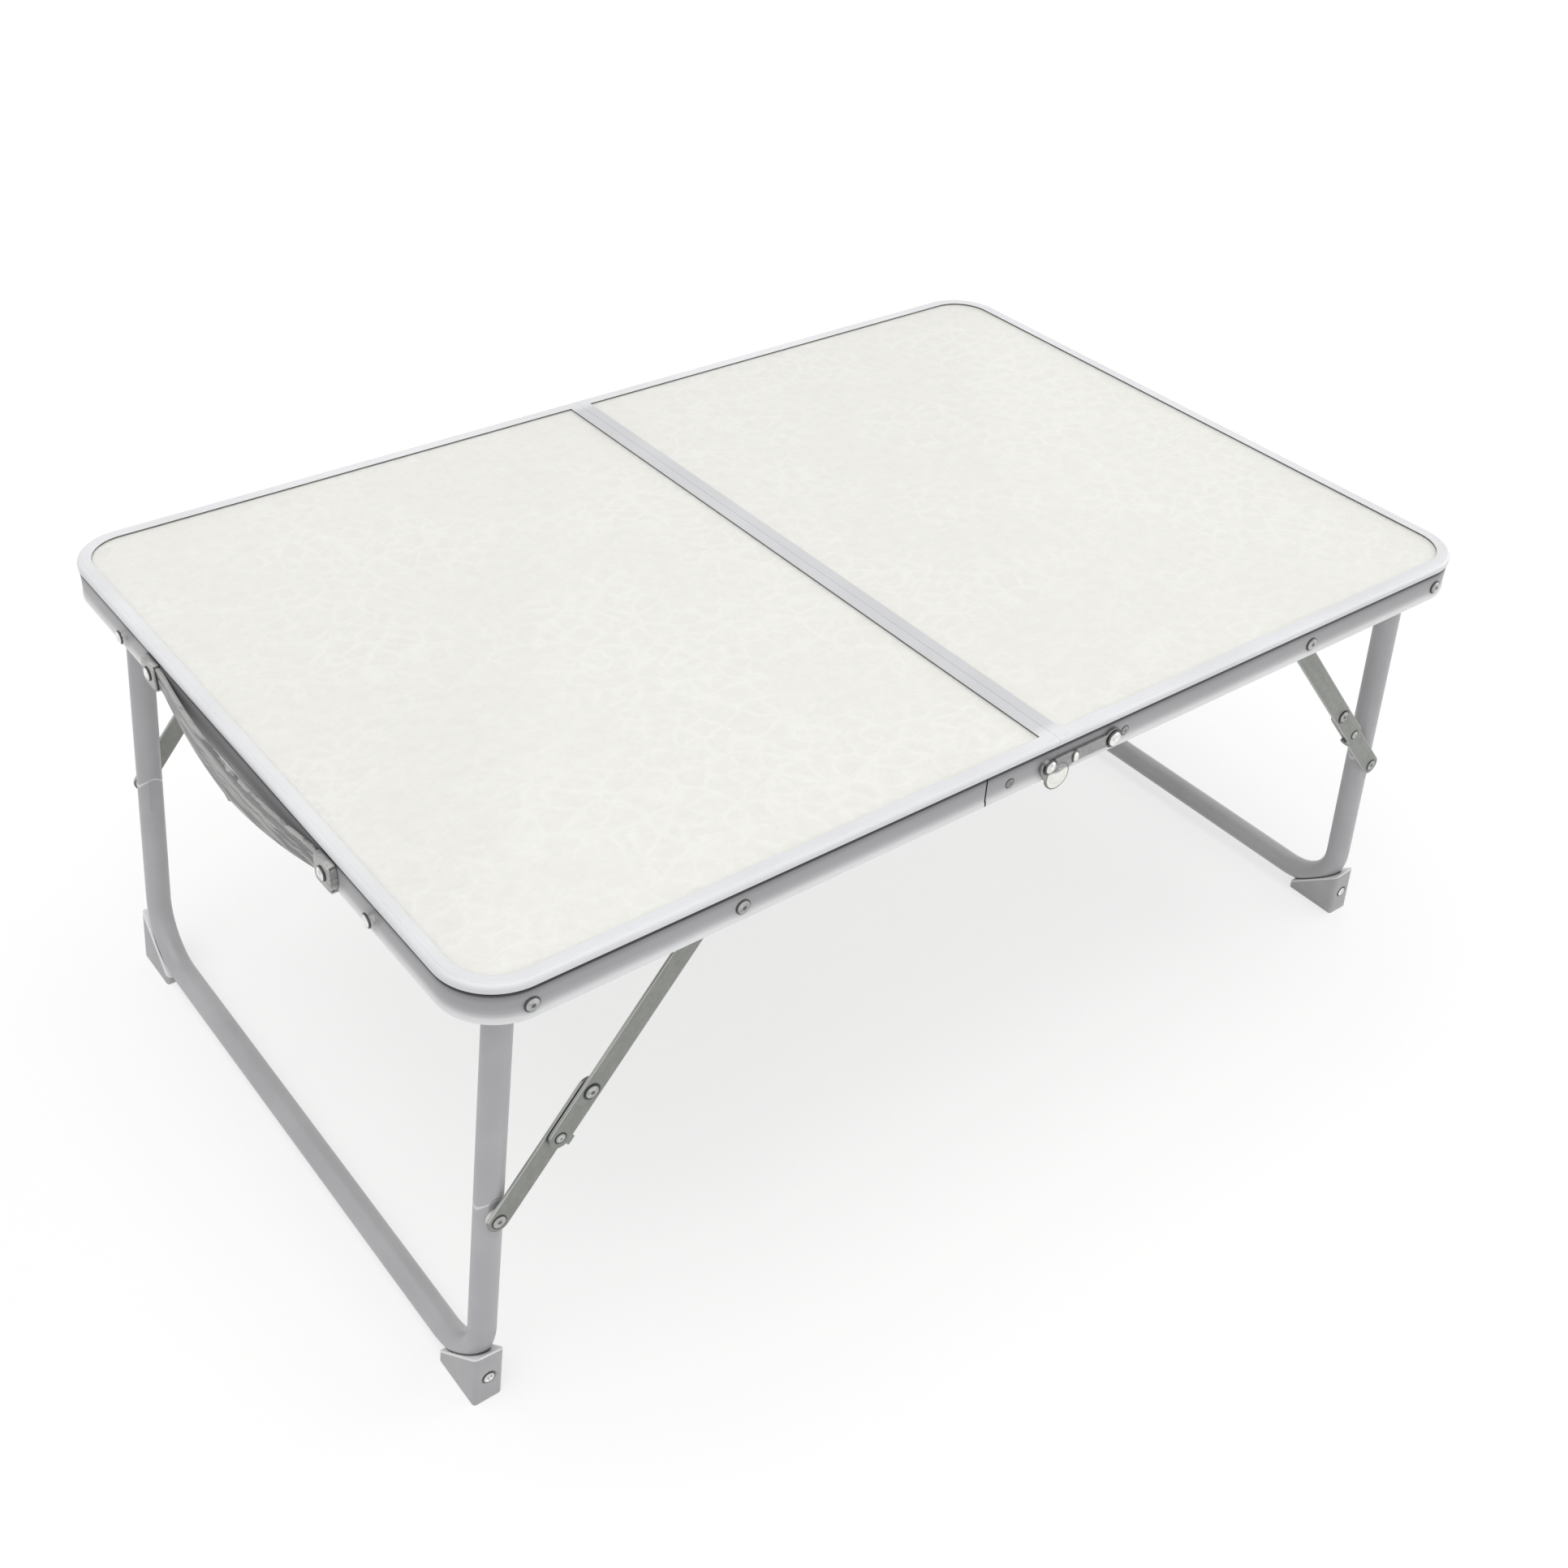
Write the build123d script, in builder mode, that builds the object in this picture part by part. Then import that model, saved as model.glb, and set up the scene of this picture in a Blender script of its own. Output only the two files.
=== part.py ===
from build123d import *
from math import atan, atan2, cos, degrees, hypot, radians, sin
import os

os.makedirs("parts", exist_ok=True)

# Overall size, in millimetres. The origin is on the floor under the middle of the table.
table_length = 600.0
table_width = 400.0
table_height = 257.0
rail_height = 20.0
corner_radius = 28.0
seam_gap = 0.3

# Clearances and the overrun of cuts
seat_gap = 0.2
run_play = 0.08
face_play = 0.1
overrun = 3.0

# Bent aluminium edge strip
lip_width = 7.0
lip_thickness = 1.0
nose_radius = 2.0
groove_top = 3.6
groove_height = 1.4
groove_depth = 0.9
skirt_inset = 0.4
skirt_wall = 1.2
roll_radius = 1.6
roll_width = 3.8
ledge_width = 6.5
ledge_thickness = 1.1
slot_back = 2.6
seam_lip_width = 6.5
seam_nose_radius = 0.8
seam_flange_width = 13.0
seam_slot_back = 2.2
strip_joint_from_seam = 43.0
strip_joint_width = 0.3

# Board
board_thickness = 3.6

# Steel plate of the joiner behind the strip joint, of the backing behind the hook and of the hinges
plate_thickness = 1.2
joiner_length = 38.0
joiner_height = 11.0
joiner_rivet_from_seam = 28.7
backing_length = 24.0
backing_rivet_from_seam = 43.5

# U-shaped leg of round tube
leg_splay = 5.5
leg_pivot_from_end = 26.5
leg_pivot_below_top = 12.6
tube_diameter = 13.0
tube_wall = 1.0
tube_row_from_edge = 24.0
tube_bend_radius = 32.0
tube_stub = 3.6
sole_thickness = 4.0
crimp_radius = 11.5
crimp_depth = 0.9

# Corner foot
foot_width = 14.8
foot_cheek = 1.4
foot_height = 31.0
foot_length = 32.0
foot_toe_height = 5.0
foot_corner_radius = 2.4
foot_screw_above_floor = 15.0

# Folding stays of flat steel
stay_width = 11.0
stay_thickness = 1.5
stay_rail_pivot_from_leg_pivot = 98.5
stay_leg_pivot_along_leg = 130.0
stay_tail_length = 24.0
stay_layer_gap = 0.25
stay_ear_length = 6.0
stay_ear_reach = 1.1
stay_nub_radius = 2.6
stay_nub_rise = 0.7

# Rivets, screws, bushes
shank_radius = 2.0
rivet_head_radius = 3.6
rivet_head_rise = 1.6
head_crown_share = 0.6
flush_head_radius = 2.6
flush_head_rise = 0.6
flush_shank_radius = 1.4
knee_head_rise = 1.2
knee_tail_rise = 1.0
end_head_rise = 0.7
tail_radius = 3.2
tail_rise = 1.0
spacer_radius = 4.0
corner_relief = 0.6
bush_radius = 4.6
screw_head_radius = 3.1
screw_head_rise = 1.3
screw_shank_radius = 1.5
screw_length = 11.0
sleeve_wall = 0.6

# Fold hinges under the seam
hinge_length = 48.0
hinge_from_middle = 110.0
hinge_leaf_width = 15.0
hinge_knuckle_radius = 2.0
hinge_pin_radius = 1.0
hinge_rivet_from_seam = 9.5
hinge_rivet_spacing = 32.0
hinge_end_play = 0.15

# Hook latch over the seam on each long side
hook_pivot_from_seam = 34.0
hook_pivot_below_top = 12.0
hook_stud_from_seam = 6.5
hook_stud_below_top = 11.5
hook_thickness = 1.5
hook_arm_width = 6.0
hook_boss_radius = 5.0
hook_bowl_radius = 7.2
hook_bowl_below_top = 19.0
hook_bowl_past_seam = 0.5
hook_mouth_play = 0.4
hook_mouth_drift = 1.0
hook_tip_above_stud = 2.4
hook_tip_width = 2.6
hook_dish_radius = 4.6
hook_dish_rise = 1.1
hook_knuckle_radius = 2.0
hook_knuckle_rise = 0.9
hook_knuckle_from_seam = 9.3
hook_rivet_head_radius = 4.2
hook_rivet_head_rise = 2.0
stud_head_radius = 3.5
stud_head_rise = 1.7

# Hooks on the right end and the studs on the left end that they catch when the table is shut
end_latch_from_middle = 123.0
end_hook_tab_reach = 6.4
end_hook_tab_height = 7.0
end_hook_arm_width = 7.0
end_hook_nose = 5.5

# Carrying handle on the left end
handle_clip_from_middle = 87.0
handle_clip_length = 16.0
handle_clip_height = 14.0
handle_clip_wall = 1.2
handle_clip_corner = 2.0
strap_thickness = 2.2
strap_end_height = 11.2
strap_middle_rise = 2.5
strap_middle_drop = 16.0
strap_bow = 4.6
strap_bend_radius = 40.0
strap_bend_before_clip = 9.0
strap_nub_size = 3.0
strap_nub_drop = 1.6

# Places worked out from the sizes above
top = table_height
half_length = table_length / 2
half_width = table_width / 2
leg_pivot_from_middle = half_length - leg_pivot_from_end
stay_rail_pivot_from_middle = leg_pivot_from_middle - stay_rail_pivot_from_leg_pivot
tube_row_from_middle = half_width - tube_row_from_edge
strap_free_half_length = handle_clip_from_middle - strap_bend_before_clip
seam_face = seam_gap / 2
slot_top = lip_thickness
slot_height = board_thickness + 2 * seat_gap
ledge_top = slot_top + slot_height
skirt_face = half_width - skirt_inset
skirt_inner = skirt_face - skirt_wall
end_face = half_length - skirt_inset
splay = radians(leg_splay)
tube_radius = tube_diameter / 2
tube_outside = tube_row_from_middle + tube_radius
pivot_height = top - leg_pivot_below_top
bar_along_leg = (pivot_height - sole_thickness - tube_radius) / cos(splay)
crimp_face = tube_radius - crimp_depth
hinge_axis_height = top - rail_height - hinge_knuckle_radius

# The stay's two links lie in line at rest and fold back over each other when the leg is in
leg_pin = (
    leg_pivot_from_middle + stay_leg_pivot_along_leg * sin(splay),
    pivot_height - stay_leg_pivot_along_leg * cos(splay),
)
rail_pin = (stay_rail_pivot_from_middle, pivot_height)
stay_run = (leg_pin[0] - rail_pin[0], leg_pin[1] - rail_pin[1])
stay_length = hypot(*stay_run)
folded_reach = stay_leg_pivot_along_leg - (leg_pivot_from_middle - stay_rail_pivot_from_middle)
upper_length = (stay_length + folded_reach) / 2
stay_way = (stay_run[0] / stay_length, stay_run[1] / stay_length)
stay_turn = degrees(atan2(stay_way[1], stay_way[0]))
knee_pin = (
    rail_pin[0] + upper_length * stay_way[0],
    rail_pin[1] + upper_length * stay_way[1],
)

# Layers across the table, outwards from the tube
lower_link_inner = tube_outside + stay_layer_gap + knee_tail_rise
lower_link_outer = lower_link_inner + stay_thickness
upper_link_inner = lower_link_outer + end_head_rise + stay_layer_gap
upper_link_outer = upper_link_inner + stay_thickness


# Planes. A half is drawn with x outwards from the seam; the right half is the left one turned about.
def deck(side, height):
    return Plane(origin=(0, 0, height), x_dir=(side, 0, 0), z_dir=(0, 0, -1))


def long_side(side, row, depth):
    return Plane(origin=(0, -side * row * depth, 0), x_dir=(side, 0, 0), z_dir=(0, -side, 0))


def short_side(side, depth):
    return Plane(origin=(side * depth, 0, 0), x_dir=(0, -side, 0), z_dir=(-side, 0, 0))


def leg_plane(side):
    return Plane(
        origin=(side * leg_pivot_from_middle, 0, pivot_height),
        x_dir=(0, -side, 0),
        z_dir=(-side * cos(splay), 0, -sin(splay)),
    )


def turning_plane(origin, outwards, across=(0, 0, 1)):
    return Plane(origin=origin, x_dir=across, z_dir=Vector(across).cross(Vector(outwards)))


def on_long_side(side, row, depth, out_from_seam, height):
    return turning_plane((side * out_from_seam, -side * row * depth, height), (0, -side * row, 0))


def on_short_side(side, depth, along, height):
    return turning_plane((side * depth, -side * along, height), (side, 0, 0))


# A round fastener turned about its own axis: raised head, shank, and the tail that was hammered over
def fastener(plane, head_radius, head_rise, shank, grip, tail=0, tail_depth=0):
    crown = head_radius * head_crown_share
    end = -grip - tail_depth
    with BuildSketch(plane) as profile:
        with BuildLine():
            Polyline((head_radius, 0), (crown, head_rise), (0, head_rise), (0, end))
            if tail_depth > 0:
                Polyline((0, end), (tail, end), (tail, -grip), (shank, -grip), (shank, 0))
            else:
                Polyline((0, end), (shank, end), (shank, 0))
            Line((shank, 0), (head_radius, 0))
        make_face()
    revolve(profile.sketch, axis=Axis(plane.origin, plane.y_dir))


# A plain ring between two depths across the table
def ring_on_long_side(side, row, spot, outer, inner, depth_from, depth_to):
    with BuildSketch(long_side(side, row, depth_from)) as ring:
        with Locations(spot):
            Circle(outer)
            Circle(inner, mode=Mode.SUBTRACT)
    extrude(ring.sketch, amount=row * (depth_to - depth_from))


def bore_long_side(side, row, spot, radius, depth_from, depth_to):
    with BuildSketch(long_side(side, row, depth_from)) as bore:
        with Locations(spot):
            Circle(radius)
    extrude(bore.sketch, amount=row * (depth_to - depth_from), mode=Mode.SUBTRACT)


def save(built, name):
    built.part.label = name
    export_step(built.part, f"parts/{name}.step")


# Section of the strip: lip over the board, round nose, groove, skirt, rolled foot, ledge under the board
def strip_section(plane):
    foot = -rail_height
    inner = skirt_inset + skirt_wall
    with BuildSketch(plane) as section:
        with BuildLine():
            Line((lip_width, 0), (nose_radius, 0))
            RadiusArc((nose_radius, 0), (0, -nose_radius), -nose_radius)
            Polyline(
                (0, -nose_radius),
                (0, -groove_top),
                (groove_depth, -groove_top - groove_height / 3),
                (groove_depth, -groove_top - 2 * groove_height / 3),
                (skirt_inset, -groove_top - groove_height),
                (skirt_inset, foot + roll_radius),
            )
            RadiusArc((skirt_inset, foot + roll_radius), (skirt_inset + roll_radius, foot), -roll_radius)
            Polyline(
                (skirt_inset + roll_radius, foot),
                (roll_width, foot),
                (roll_width, foot + skirt_wall),
                (inner, foot + skirt_wall),
                (inner, -ledge_top - ledge_thickness),
                (ledge_width, -ledge_top - ledge_thickness),
                (ledge_width, -ledge_top),
                (slot_back, -ledge_top),
                (slot_back, -slot_top),
                (lip_width, -slot_top),
                (lip_width, 0),
            )
        make_face()
    return section.sketch


# Section at the seam: the same strip with a tight nose, no groove, and a wide foot for the hinges
def seam_section(plane):
    foot = -rail_height
    with BuildSketch(plane) as section:
        with BuildLine():
            Line((seam_lip_width, 0), (seam_nose_radius, 0))
            RadiusArc((seam_nose_radius, 0), (0, -seam_nose_radius), -seam_nose_radius)
            Line((0, -seam_nose_radius), (0, foot + roll_radius))
            RadiusArc((0, foot + roll_radius), (roll_radius, foot), -roll_radius)
            Polyline(
                (roll_radius, foot),
                (seam_flange_width, foot),
                (seam_flange_width, foot + skirt_wall),
                (skirt_wall, foot + skirt_wall),
                (skirt_wall, -ledge_top - ledge_thickness),
                (ledge_width, -ledge_top - ledge_thickness),
                (ledge_width, -ledge_top),
                (seam_slot_back, -ledge_top),
                (seam_slot_back, -slot_top),
                (seam_lip_width, -slot_top),
                (seam_lip_width, 0),
            )
        make_face()
    return section.sketch


# Edge frame: one strip bent round the half, its ends meeting in a joint near the seam
def make_edge_frame(side, name):
    hinge_spots = [
        (hinge_rivet_from_seam, bank * hinge_from_middle + way * hinge_rivet_spacing / 2)
        for bank in (-1, 1)
        for way in (-1, 1)
    ]
    with BuildPart() as edge_frame:
        with BuildLine(deck(side, top)) as run:
            FilletPolyline(
                (seam_face, -half_width),
                (half_length, -half_width),
                (half_length, half_width),
                (seam_face, half_width),
                radius=corner_radius,
            )
        start = Plane(
            origin=(side * seam_face, side * half_width, top),
            x_dir=(0, -side, 0),
            z_dir=(-side, 0, 0),
        )
        sweep(strip_section(start), path=run.wire())
        across = Plane(origin=(side * seam_face, 0, top), x_dir=(side, 0, 0), z_dir=(0, -side, 0))
        extrude(seam_section(across), amount=skirt_face - skirt_wall / 2, both=True)
        # The joint shows as a fine saw line down the skirt
        with BuildSketch(long_side(side, -1, skirt_inner - ledge_width)):
            with Locations((strip_joint_from_seam, top - rail_height / 2 - groove_top)):
                Rectangle(strip_joint_width, rail_height)
        extrude(amount=-(half_width - skirt_inner + ledge_width), mode=Mode.SUBTRACT)
        # Holes for the rivets in the long skirts
        for row in (-1, 1):
            for spot in ((leg_pivot_from_middle, pivot_height), rail_pin):
                bore_long_side(side, row, spot, shank_radius + run_play, skirt_inner - overrun, half_width)
        catch = (hook_stud_from_seam, top - hook_stud_below_top)
        bore_long_side(side, -1, catch, shank_radius + run_play, skirt_inner - overrun, half_width)
        joiner = (joiner_rivet_from_seam, pivot_height)
        bore_long_side(side, -1, joiner, flush_shank_radius + run_play, skirt_inner - overrun, half_width)
        hook = (hook_pivot_from_seam, top - hook_pivot_below_top)
        bore_long_side(side, 1, hook, shank_radius + run_play, skirt_inner - overrun, half_width)
        backing = (backing_rivet_from_seam, pivot_height)
        bore_long_side(side, 1, backing, flush_shank_radius + run_play, skirt_inner - overrun, half_width)
        # Holes in the short skirt and under the seam
        end_spots = [(way * end_latch_from_middle, top - hook_pivot_below_top) for way in (-1, 1)]
        if side < 0:
            end_spots += [(way * handle_clip_from_middle, top - hook_pivot_below_top) for way in (-1, 1)]
        with BuildSketch(short_side(side, half_length)):
            with Locations(*end_spots):
                Circle(shank_radius + run_play)
        extrude(amount=roll_width + overrun, mode=Mode.SUBTRACT)
        with BuildSketch(deck(side, top - rail_height + skirt_wall + overrun)):
            with Locations(*hinge_spots):
                Circle(flush_shank_radius + run_play)
        extrude(amount=skirt_wall + 2 * overrun, mode=Mode.SUBTRACT)
    save(edge_frame, name)


# Board: thin hard fibreboard with a laminate face, slid into the strip's slot
def make_board(side, name):
    inset = slot_back + seat_gap
    near = seam_face + seam_slot_back + seat_gap
    far = half_length - inset
    with BuildPart() as board:
        with BuildSketch(deck(side, top - slot_top - seat_gap)):
            with BuildLine():
                FilletPolyline(
                    (near, -half_width + inset),
                    (far, -half_width + inset),
                    (far, half_width - inset),
                    (near, half_width - inset),
                    radius=corner_radius - inset,
                )
                Line((near, half_width - inset), (near, -half_width + inset))
            make_face()
        extrude(amount=board_thickness)
    save(board, name)


# Plates inside the long skirts: one bridges the strip joint, one backs the hook's rivet
def make_inner_plate(side, row, middle, length, holes, name):
    with BuildPart() as plate:
        with BuildSketch(long_side(side, row, skirt_inner - plate_thickness)):
            with Locations((middle, pivot_height)):
                RectangleRounded(length, joiner_height, roll_radius)
            for spot, radius in holes:
                with Locations(spot):
                    Circle(radius + run_play, mode=Mode.SUBTRACT)
        extrude(amount=row * plate_thickness)
    save(plate, name)


# Rivets that carry the legs, and the bushes that hold the legs off the skirts
def make_leg_rivets(side, name):
    grip = skirt_face - tube_row_from_middle + tube_radius + face_play
    with BuildPart() as rivets:
        for row in (-1, 1):
            plane = on_long_side(side, row, skirt_face, leg_pivot_from_middle, pivot_height)
            fastener(plane, rivet_head_radius, rivet_head_rise, shank_radius, grip, tail_radius, tail_rise)
    save(rivets, name)


def make_leg_bushes(side, name):
    with BuildPart() as bushes:
        for row in (-1, 1):
            ring_on_long_side(
                side, row, (leg_pivot_from_middle, pivot_height), spacer_radius,
                shank_radius + run_play, tube_outside + face_play, skirt_inner - corner_relief,
            )
    save(bushes, name)


# Rivets and bushes that carry the stays under the long rails
def make_rail_rivets(side, name):
    grip = skirt_face - upper_link_inner + face_play
    with BuildPart() as rivets:
        for row in (-1, 1):
            plane = on_long_side(side, row, skirt_face, *rail_pin)
            fastener(plane, rivet_head_radius, rivet_head_rise, shank_radius, grip, tail_radius, tail_rise)
    save(rivets, name)


def make_rail_bushes(side, name):
    with BuildPart() as bushes:
        for row in (-1, 1):
            ring_on_long_side(
                side, row, rail_pin, spacer_radius, shank_radius + run_play,
                upper_link_outer + face_play, skirt_inner,
            )
    save(bushes, name)


# Small flush rivets, all alike: through the skirts into the plates, and up through the hinge leaves
def make_flush_rivets(side, name):
    planes = [
        on_long_side(side, -1, skirt_face, joiner_rivet_from_seam, pivot_height),
        on_long_side(side, 1, skirt_face, backing_rivet_from_seam, pivot_height),
    ]
    for bank in (-1, 1):
        for way in (-1, 1):
            along = bank * hinge_from_middle + way * hinge_rivet_spacing / 2
            spot = (side * hinge_rivet_from_seam, -side * along, top - rail_height - plate_thickness)
            planes.append(turning_plane(spot, (0, 0, -1), across=(1, 0, 0)))
    with BuildPart() as rivets:
        for plane in planes:
            fastener(
                plane, flush_head_radius, flush_head_rise, flush_shank_radius,
                plate_thickness + skirt_wall, flush_head_radius, flush_head_rise,
            )
    save(rivets, name)


# Round faces pressed flat on both sides of the tube where the stay is pinned to it
def crimps(side, face):
    for row in (-1, 1):
        for way in (-1, 1):
            depth = tube_row_from_middle + way * face
            with BuildSketch(long_side(side, row, depth)) as press:
                with Locations(leg_pin):
                    Circle(crimp_radius)
            length = row * way * (tube_radius - face + overrun)
            extrude(press.sketch, amount=length, mode=Mode.SUBTRACT)


# A round rod along the leg, down from one pivot, across the floor and up to the other
def sweep_leg(side, radius):
    plane = leg_plane(side)
    with BuildLine(plane) as path:
        FilletPolyline(
            (-tube_row_from_middle, tube_stub),
            (-tube_row_from_middle, -bar_along_leg),
            (tube_row_from_middle, -bar_along_leg),
            (tube_row_from_middle, tube_stub),
            radius=tube_bend_radius,
        )
    start = plane.from_local_coords((-tube_row_from_middle, tube_stub, 0))
    with BuildSketch(Plane(origin=start, x_dir=plane.x_dir, z_dir=-plane.y_dir)) as rod:
        Circle(radius)
    sweep(rod.sketch, path=path.wire())


# U-shaped leg: round tube, two wide bends, open ends
def make_leg_tube(side, name):
    with BuildPart() as bore:
        sweep_leg(side, tube_radius - tube_wall)
        crimps(side, crimp_face - tube_wall)
    with BuildPart() as leg_tube:
        sweep_leg(side, tube_radius)
        crimps(side, crimp_face)
        add(bore.part, mode=Mode.SUBTRACT)
        inner = tube_row_from_middle - tube_radius - overrun
        outer = tube_outside + overrun
        for row in (-1, 1):
            for spot in ((leg_pivot_from_middle, pivot_height), leg_pin):
                bore_long_side(side, row, spot, shank_radius + run_play, inner, outer)
    save(leg_tube, name)


# Bushes in the tube for the stay's rivet, with a flange that holds the link off the tube
def make_leg_sleeves(side, name):
    inner = tube_row_from_middle - crimp_face
    seat = tube_row_from_middle + crimp_face + face_play / 2
    face = lower_link_inner - face_play
    with BuildPart() as sleeves:
        for row in (-1, 1):
            hollow = shank_radius - run_play - sleeve_wall
            ring_on_long_side(side, row, leg_pin, shank_radius - run_play, hollow, inner, seat)
            ring_on_long_side(side, row, leg_pin, bush_radius, hollow, seat, face)
    save(sleeves, name)


# Corner foot: a moulded wedge that fills the square corner outside the bend of the tube
def make_foot(side, row, name):
    plane = leg_plane(side)
    toe = -bar_along_leg - tube_radius - sole_thickness
    drop = foot_width * sin(splay)
    face = tube_outside + foot_cheek
    head = toe + foot_height
    with BuildPart() as tube:
        sweep_leg(side, tube_radius + face_play / 2)
    with BuildPart() as foot:
        with BuildSketch(plane):
            with BuildLine():
                Polyline(
                    (row * face, head),
                    (row * face, toe - drop),
                    (row * (face - foot_length), toe - drop),
                    (row * (face - foot_length), toe + foot_toe_height),
                    (row * face, head),
                )
            make_face()
        extrude(amount=foot_width / 2, both=True)
        upright = Axis(plane.origin, plane.y_dir)
        fillet(foot.edges().filter_by(upright), radius=foot_corner_radius)
        add(tube.part, mode=Mode.SUBTRACT)
        screw = foot_screw_place(side, row)
        with BuildSketch(Plane(origin=screw.origin, z_dir=(0, side * row, 0))):
            Circle(screw_shank_radius)
        extrude(amount=screw_length, mode=Mode.SUBTRACT)
        # The sole is flat on the floor while the leg is splayed
        with BuildSketch(Plane.XY):
            Rectangle(2 * table_length, 2 * table_width)
        extrude(amount=-rail_height, mode=Mode.SUBTRACT)
    save(foot, name)


def foot_screw_place(side, row):
    along = -bar_along_leg - tube_radius - sole_thickness + foot_screw_above_floor
    face = row * (tube_outside + foot_cheek)
    spot = leg_plane(side).from_local_coords((face, along, 0))
    return turning_plane(spot, (0, -side * row, 0))


# Links of the stays: flat bars with round ends
def bar_between(spot_from, spot_to, plane, amount, row):
    length = hypot(spot_to[0] - spot_from[0], spot_to[1] - spot_from[1])
    middle = ((spot_from[0] + spot_to[0]) / 2, (spot_from[1] + spot_to[1]) / 2)
    with BuildSketch(plane) as bar:
        with Locations(Location((middle[0], middle[1], 0), (0, 0, stay_turn))):
            SlotCenterToCenter(length, stay_width)
    extrude(bar.sketch, amount=row * amount)


def make_upper_link(side, row, name):
    tail = (
        knee_pin[0] + stay_tail_length * stay_way[0],
        knee_pin[1] + stay_tail_length * stay_way[1],
    )
    with BuildPart() as link:
        bar_between(rail_pin, tail, long_side(side, row, upper_link_inner), stay_thickness, row)
        # The ear at the tail is bent over the lower link's edge and stops the stay when it is straight
        ear_from = stay_width / 2 - stay_thickness
        ear_to = stay_width / 2 + face_play + stay_thickness
        ear_inner = lower_link_outer - stay_ear_reach
        lean = Location((tail[0], tail[1], 0), (0, 0, stay_turn))
        with BuildSketch(long_side(side, row, upper_link_inner)):
            with Locations(lean * Location((0, -(ear_from + ear_to) / 2, 0))):
                Rectangle(stay_ear_length, ear_to - ear_from)
        extrude(amount=row * stay_thickness)
        with BuildSketch(long_side(side, row, ear_inner)):
            with Locations(lean * Location((0, -ear_to + stay_thickness / 2, 0))):
                Rectangle(stay_ear_length, stay_thickness)
        extrude(amount=row * (upper_link_outer - ear_inner))
        # Pressed nub at the tail
        nub = on_long_side(side, row, upper_link_outer, *tail)
        fastener(nub, stay_nub_radius, stay_nub_rise, stay_nub_radius / 2, stay_thickness / 2)
        for spot in (rail_pin, knee_pin):
            bore_long_side(
                side, row, spot, shank_radius + run_play,
                upper_link_inner - overrun, upper_link_outer + overrun,
            )
    save(link, name)


def make_lower_link(side, row, name):
    with BuildPart() as link:
        bar_between(knee_pin, leg_pin, long_side(side, row, lower_link_inner), stay_thickness, row)
        for spot in (knee_pin, leg_pin):
            bore_long_side(
                side, row, spot, shank_radius + run_play,
                lower_link_inner - overrun, lower_link_outer + overrun,
            )
    save(link, name)


# Knee rivet with a collar that keeps the two links apart
def make_knee_rivet(side, row, name):
    grip = upper_link_outer - lower_link_inner + face_play
    with BuildPart() as rivet:
        plane = on_long_side(side, row, upper_link_outer, *knee_pin)
        fastener(
            plane, rivet_head_radius, knee_head_rise, shank_radius,
            grip, tail_radius, knee_tail_rise - face_play,
        )
        ring_on_long_side(
            side, row, knee_pin, tail_radius, shank_radius / 2,
            lower_link_outer + face_play, upper_link_inner - face_play / 2,
        )
    save(rivet, name)


def make_end_rivet(side, row, name):
    with BuildPart() as rivet:
        plane = on_long_side(side, row, lower_link_outer, *leg_pin)
        fastener(plane, rivet_head_radius, end_head_rise, shank_radius, stay_thickness)
    save(rivet, name)


# Fold hinge: leaves under the two seam rails, knuckles in turn along the seam
def make_hinge_leaf(side, name):
    leaf_top = top - rail_height
    pitch = hinge_length / 3
    with BuildPart() as leaf:
        for bank in (-1, 1):
            middle = bank * hinge_from_middle
            # The left leaf has the two outer knuckles and the right leaf the middle one
            if side < 0:
                spans = [(middle - way * pitch, pitch) for way in (-1, 1)]
            else:
                spans = [(middle, pitch)]
            # The leaf stands back from the other leaf's knuckles
            clear = hinge_knuckle_radius + seat_gap
            with BuildSketch(deck(side, leaf_top)):
                with Locations(((clear + hinge_leaf_width) / 2, middle)):
                    Rectangle(hinge_leaf_width - clear, hinge_length)
            extrude(amount=plate_thickness)
            for place, length in spans:
                run = length - 2 * hinge_end_play
                with BuildSketch(deck(side, leaf_top)):
                    with Locations(((hinge_knuckle_radius + clear) / 2, place)):
                        Rectangle(hinge_knuckle_radius + clear, run)
                extrude(amount=plate_thickness)
                barrel = Plane(
                    origin=(0, -side * place + side * run / 2, hinge_axis_height),
                    x_dir=(side, 0, 0),
                    z_dir=(0, -side, 0),
                )
                with BuildSketch(barrel):
                    Circle(hinge_knuckle_radius)
                extrude(amount=run)
            bore = Plane(
                origin=(0, -side * middle + side * hinge_length, hinge_axis_height),
                x_dir=(side, 0, 0),
                z_dir=(0, -side, 0),
            )
            with BuildSketch(bore):
                Circle(hinge_pin_radius + run_play)
            extrude(amount=2 * hinge_length, mode=Mode.SUBTRACT)
            # Holes for the flush rivets
            with BuildSketch(deck(side, leaf_top + overrun)):
                for way in (-1, 1):
                    with Locations((hinge_rivet_from_seam, middle + way * hinge_rivet_spacing / 2)):
                        Circle(flush_shank_radius + run_play)
            extrude(amount=2 * overrun + plate_thickness, mode=Mode.SUBTRACT)
    save(leaf, name)


def make_hinge_pins(name):
    with BuildPart() as pins:
        for bank in (-1, 1):
            start = Plane(
                origin=(0, bank * hinge_from_middle - hinge_length / 2, hinge_axis_height),
                x_dir=(1, 0, 0),
                z_dir=(0, 1, 0),
            )
            with BuildSketch(start):
                Circle(hinge_pin_radius)
            extrude(amount=hinge_length)
    save(pins, name)


# Hook latch: a flat pressed hook that hangs on its rivet and cups the stud from below
hook_inner = half_width + seat_gap
hook_outer = hook_inner + hook_thickness


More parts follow.
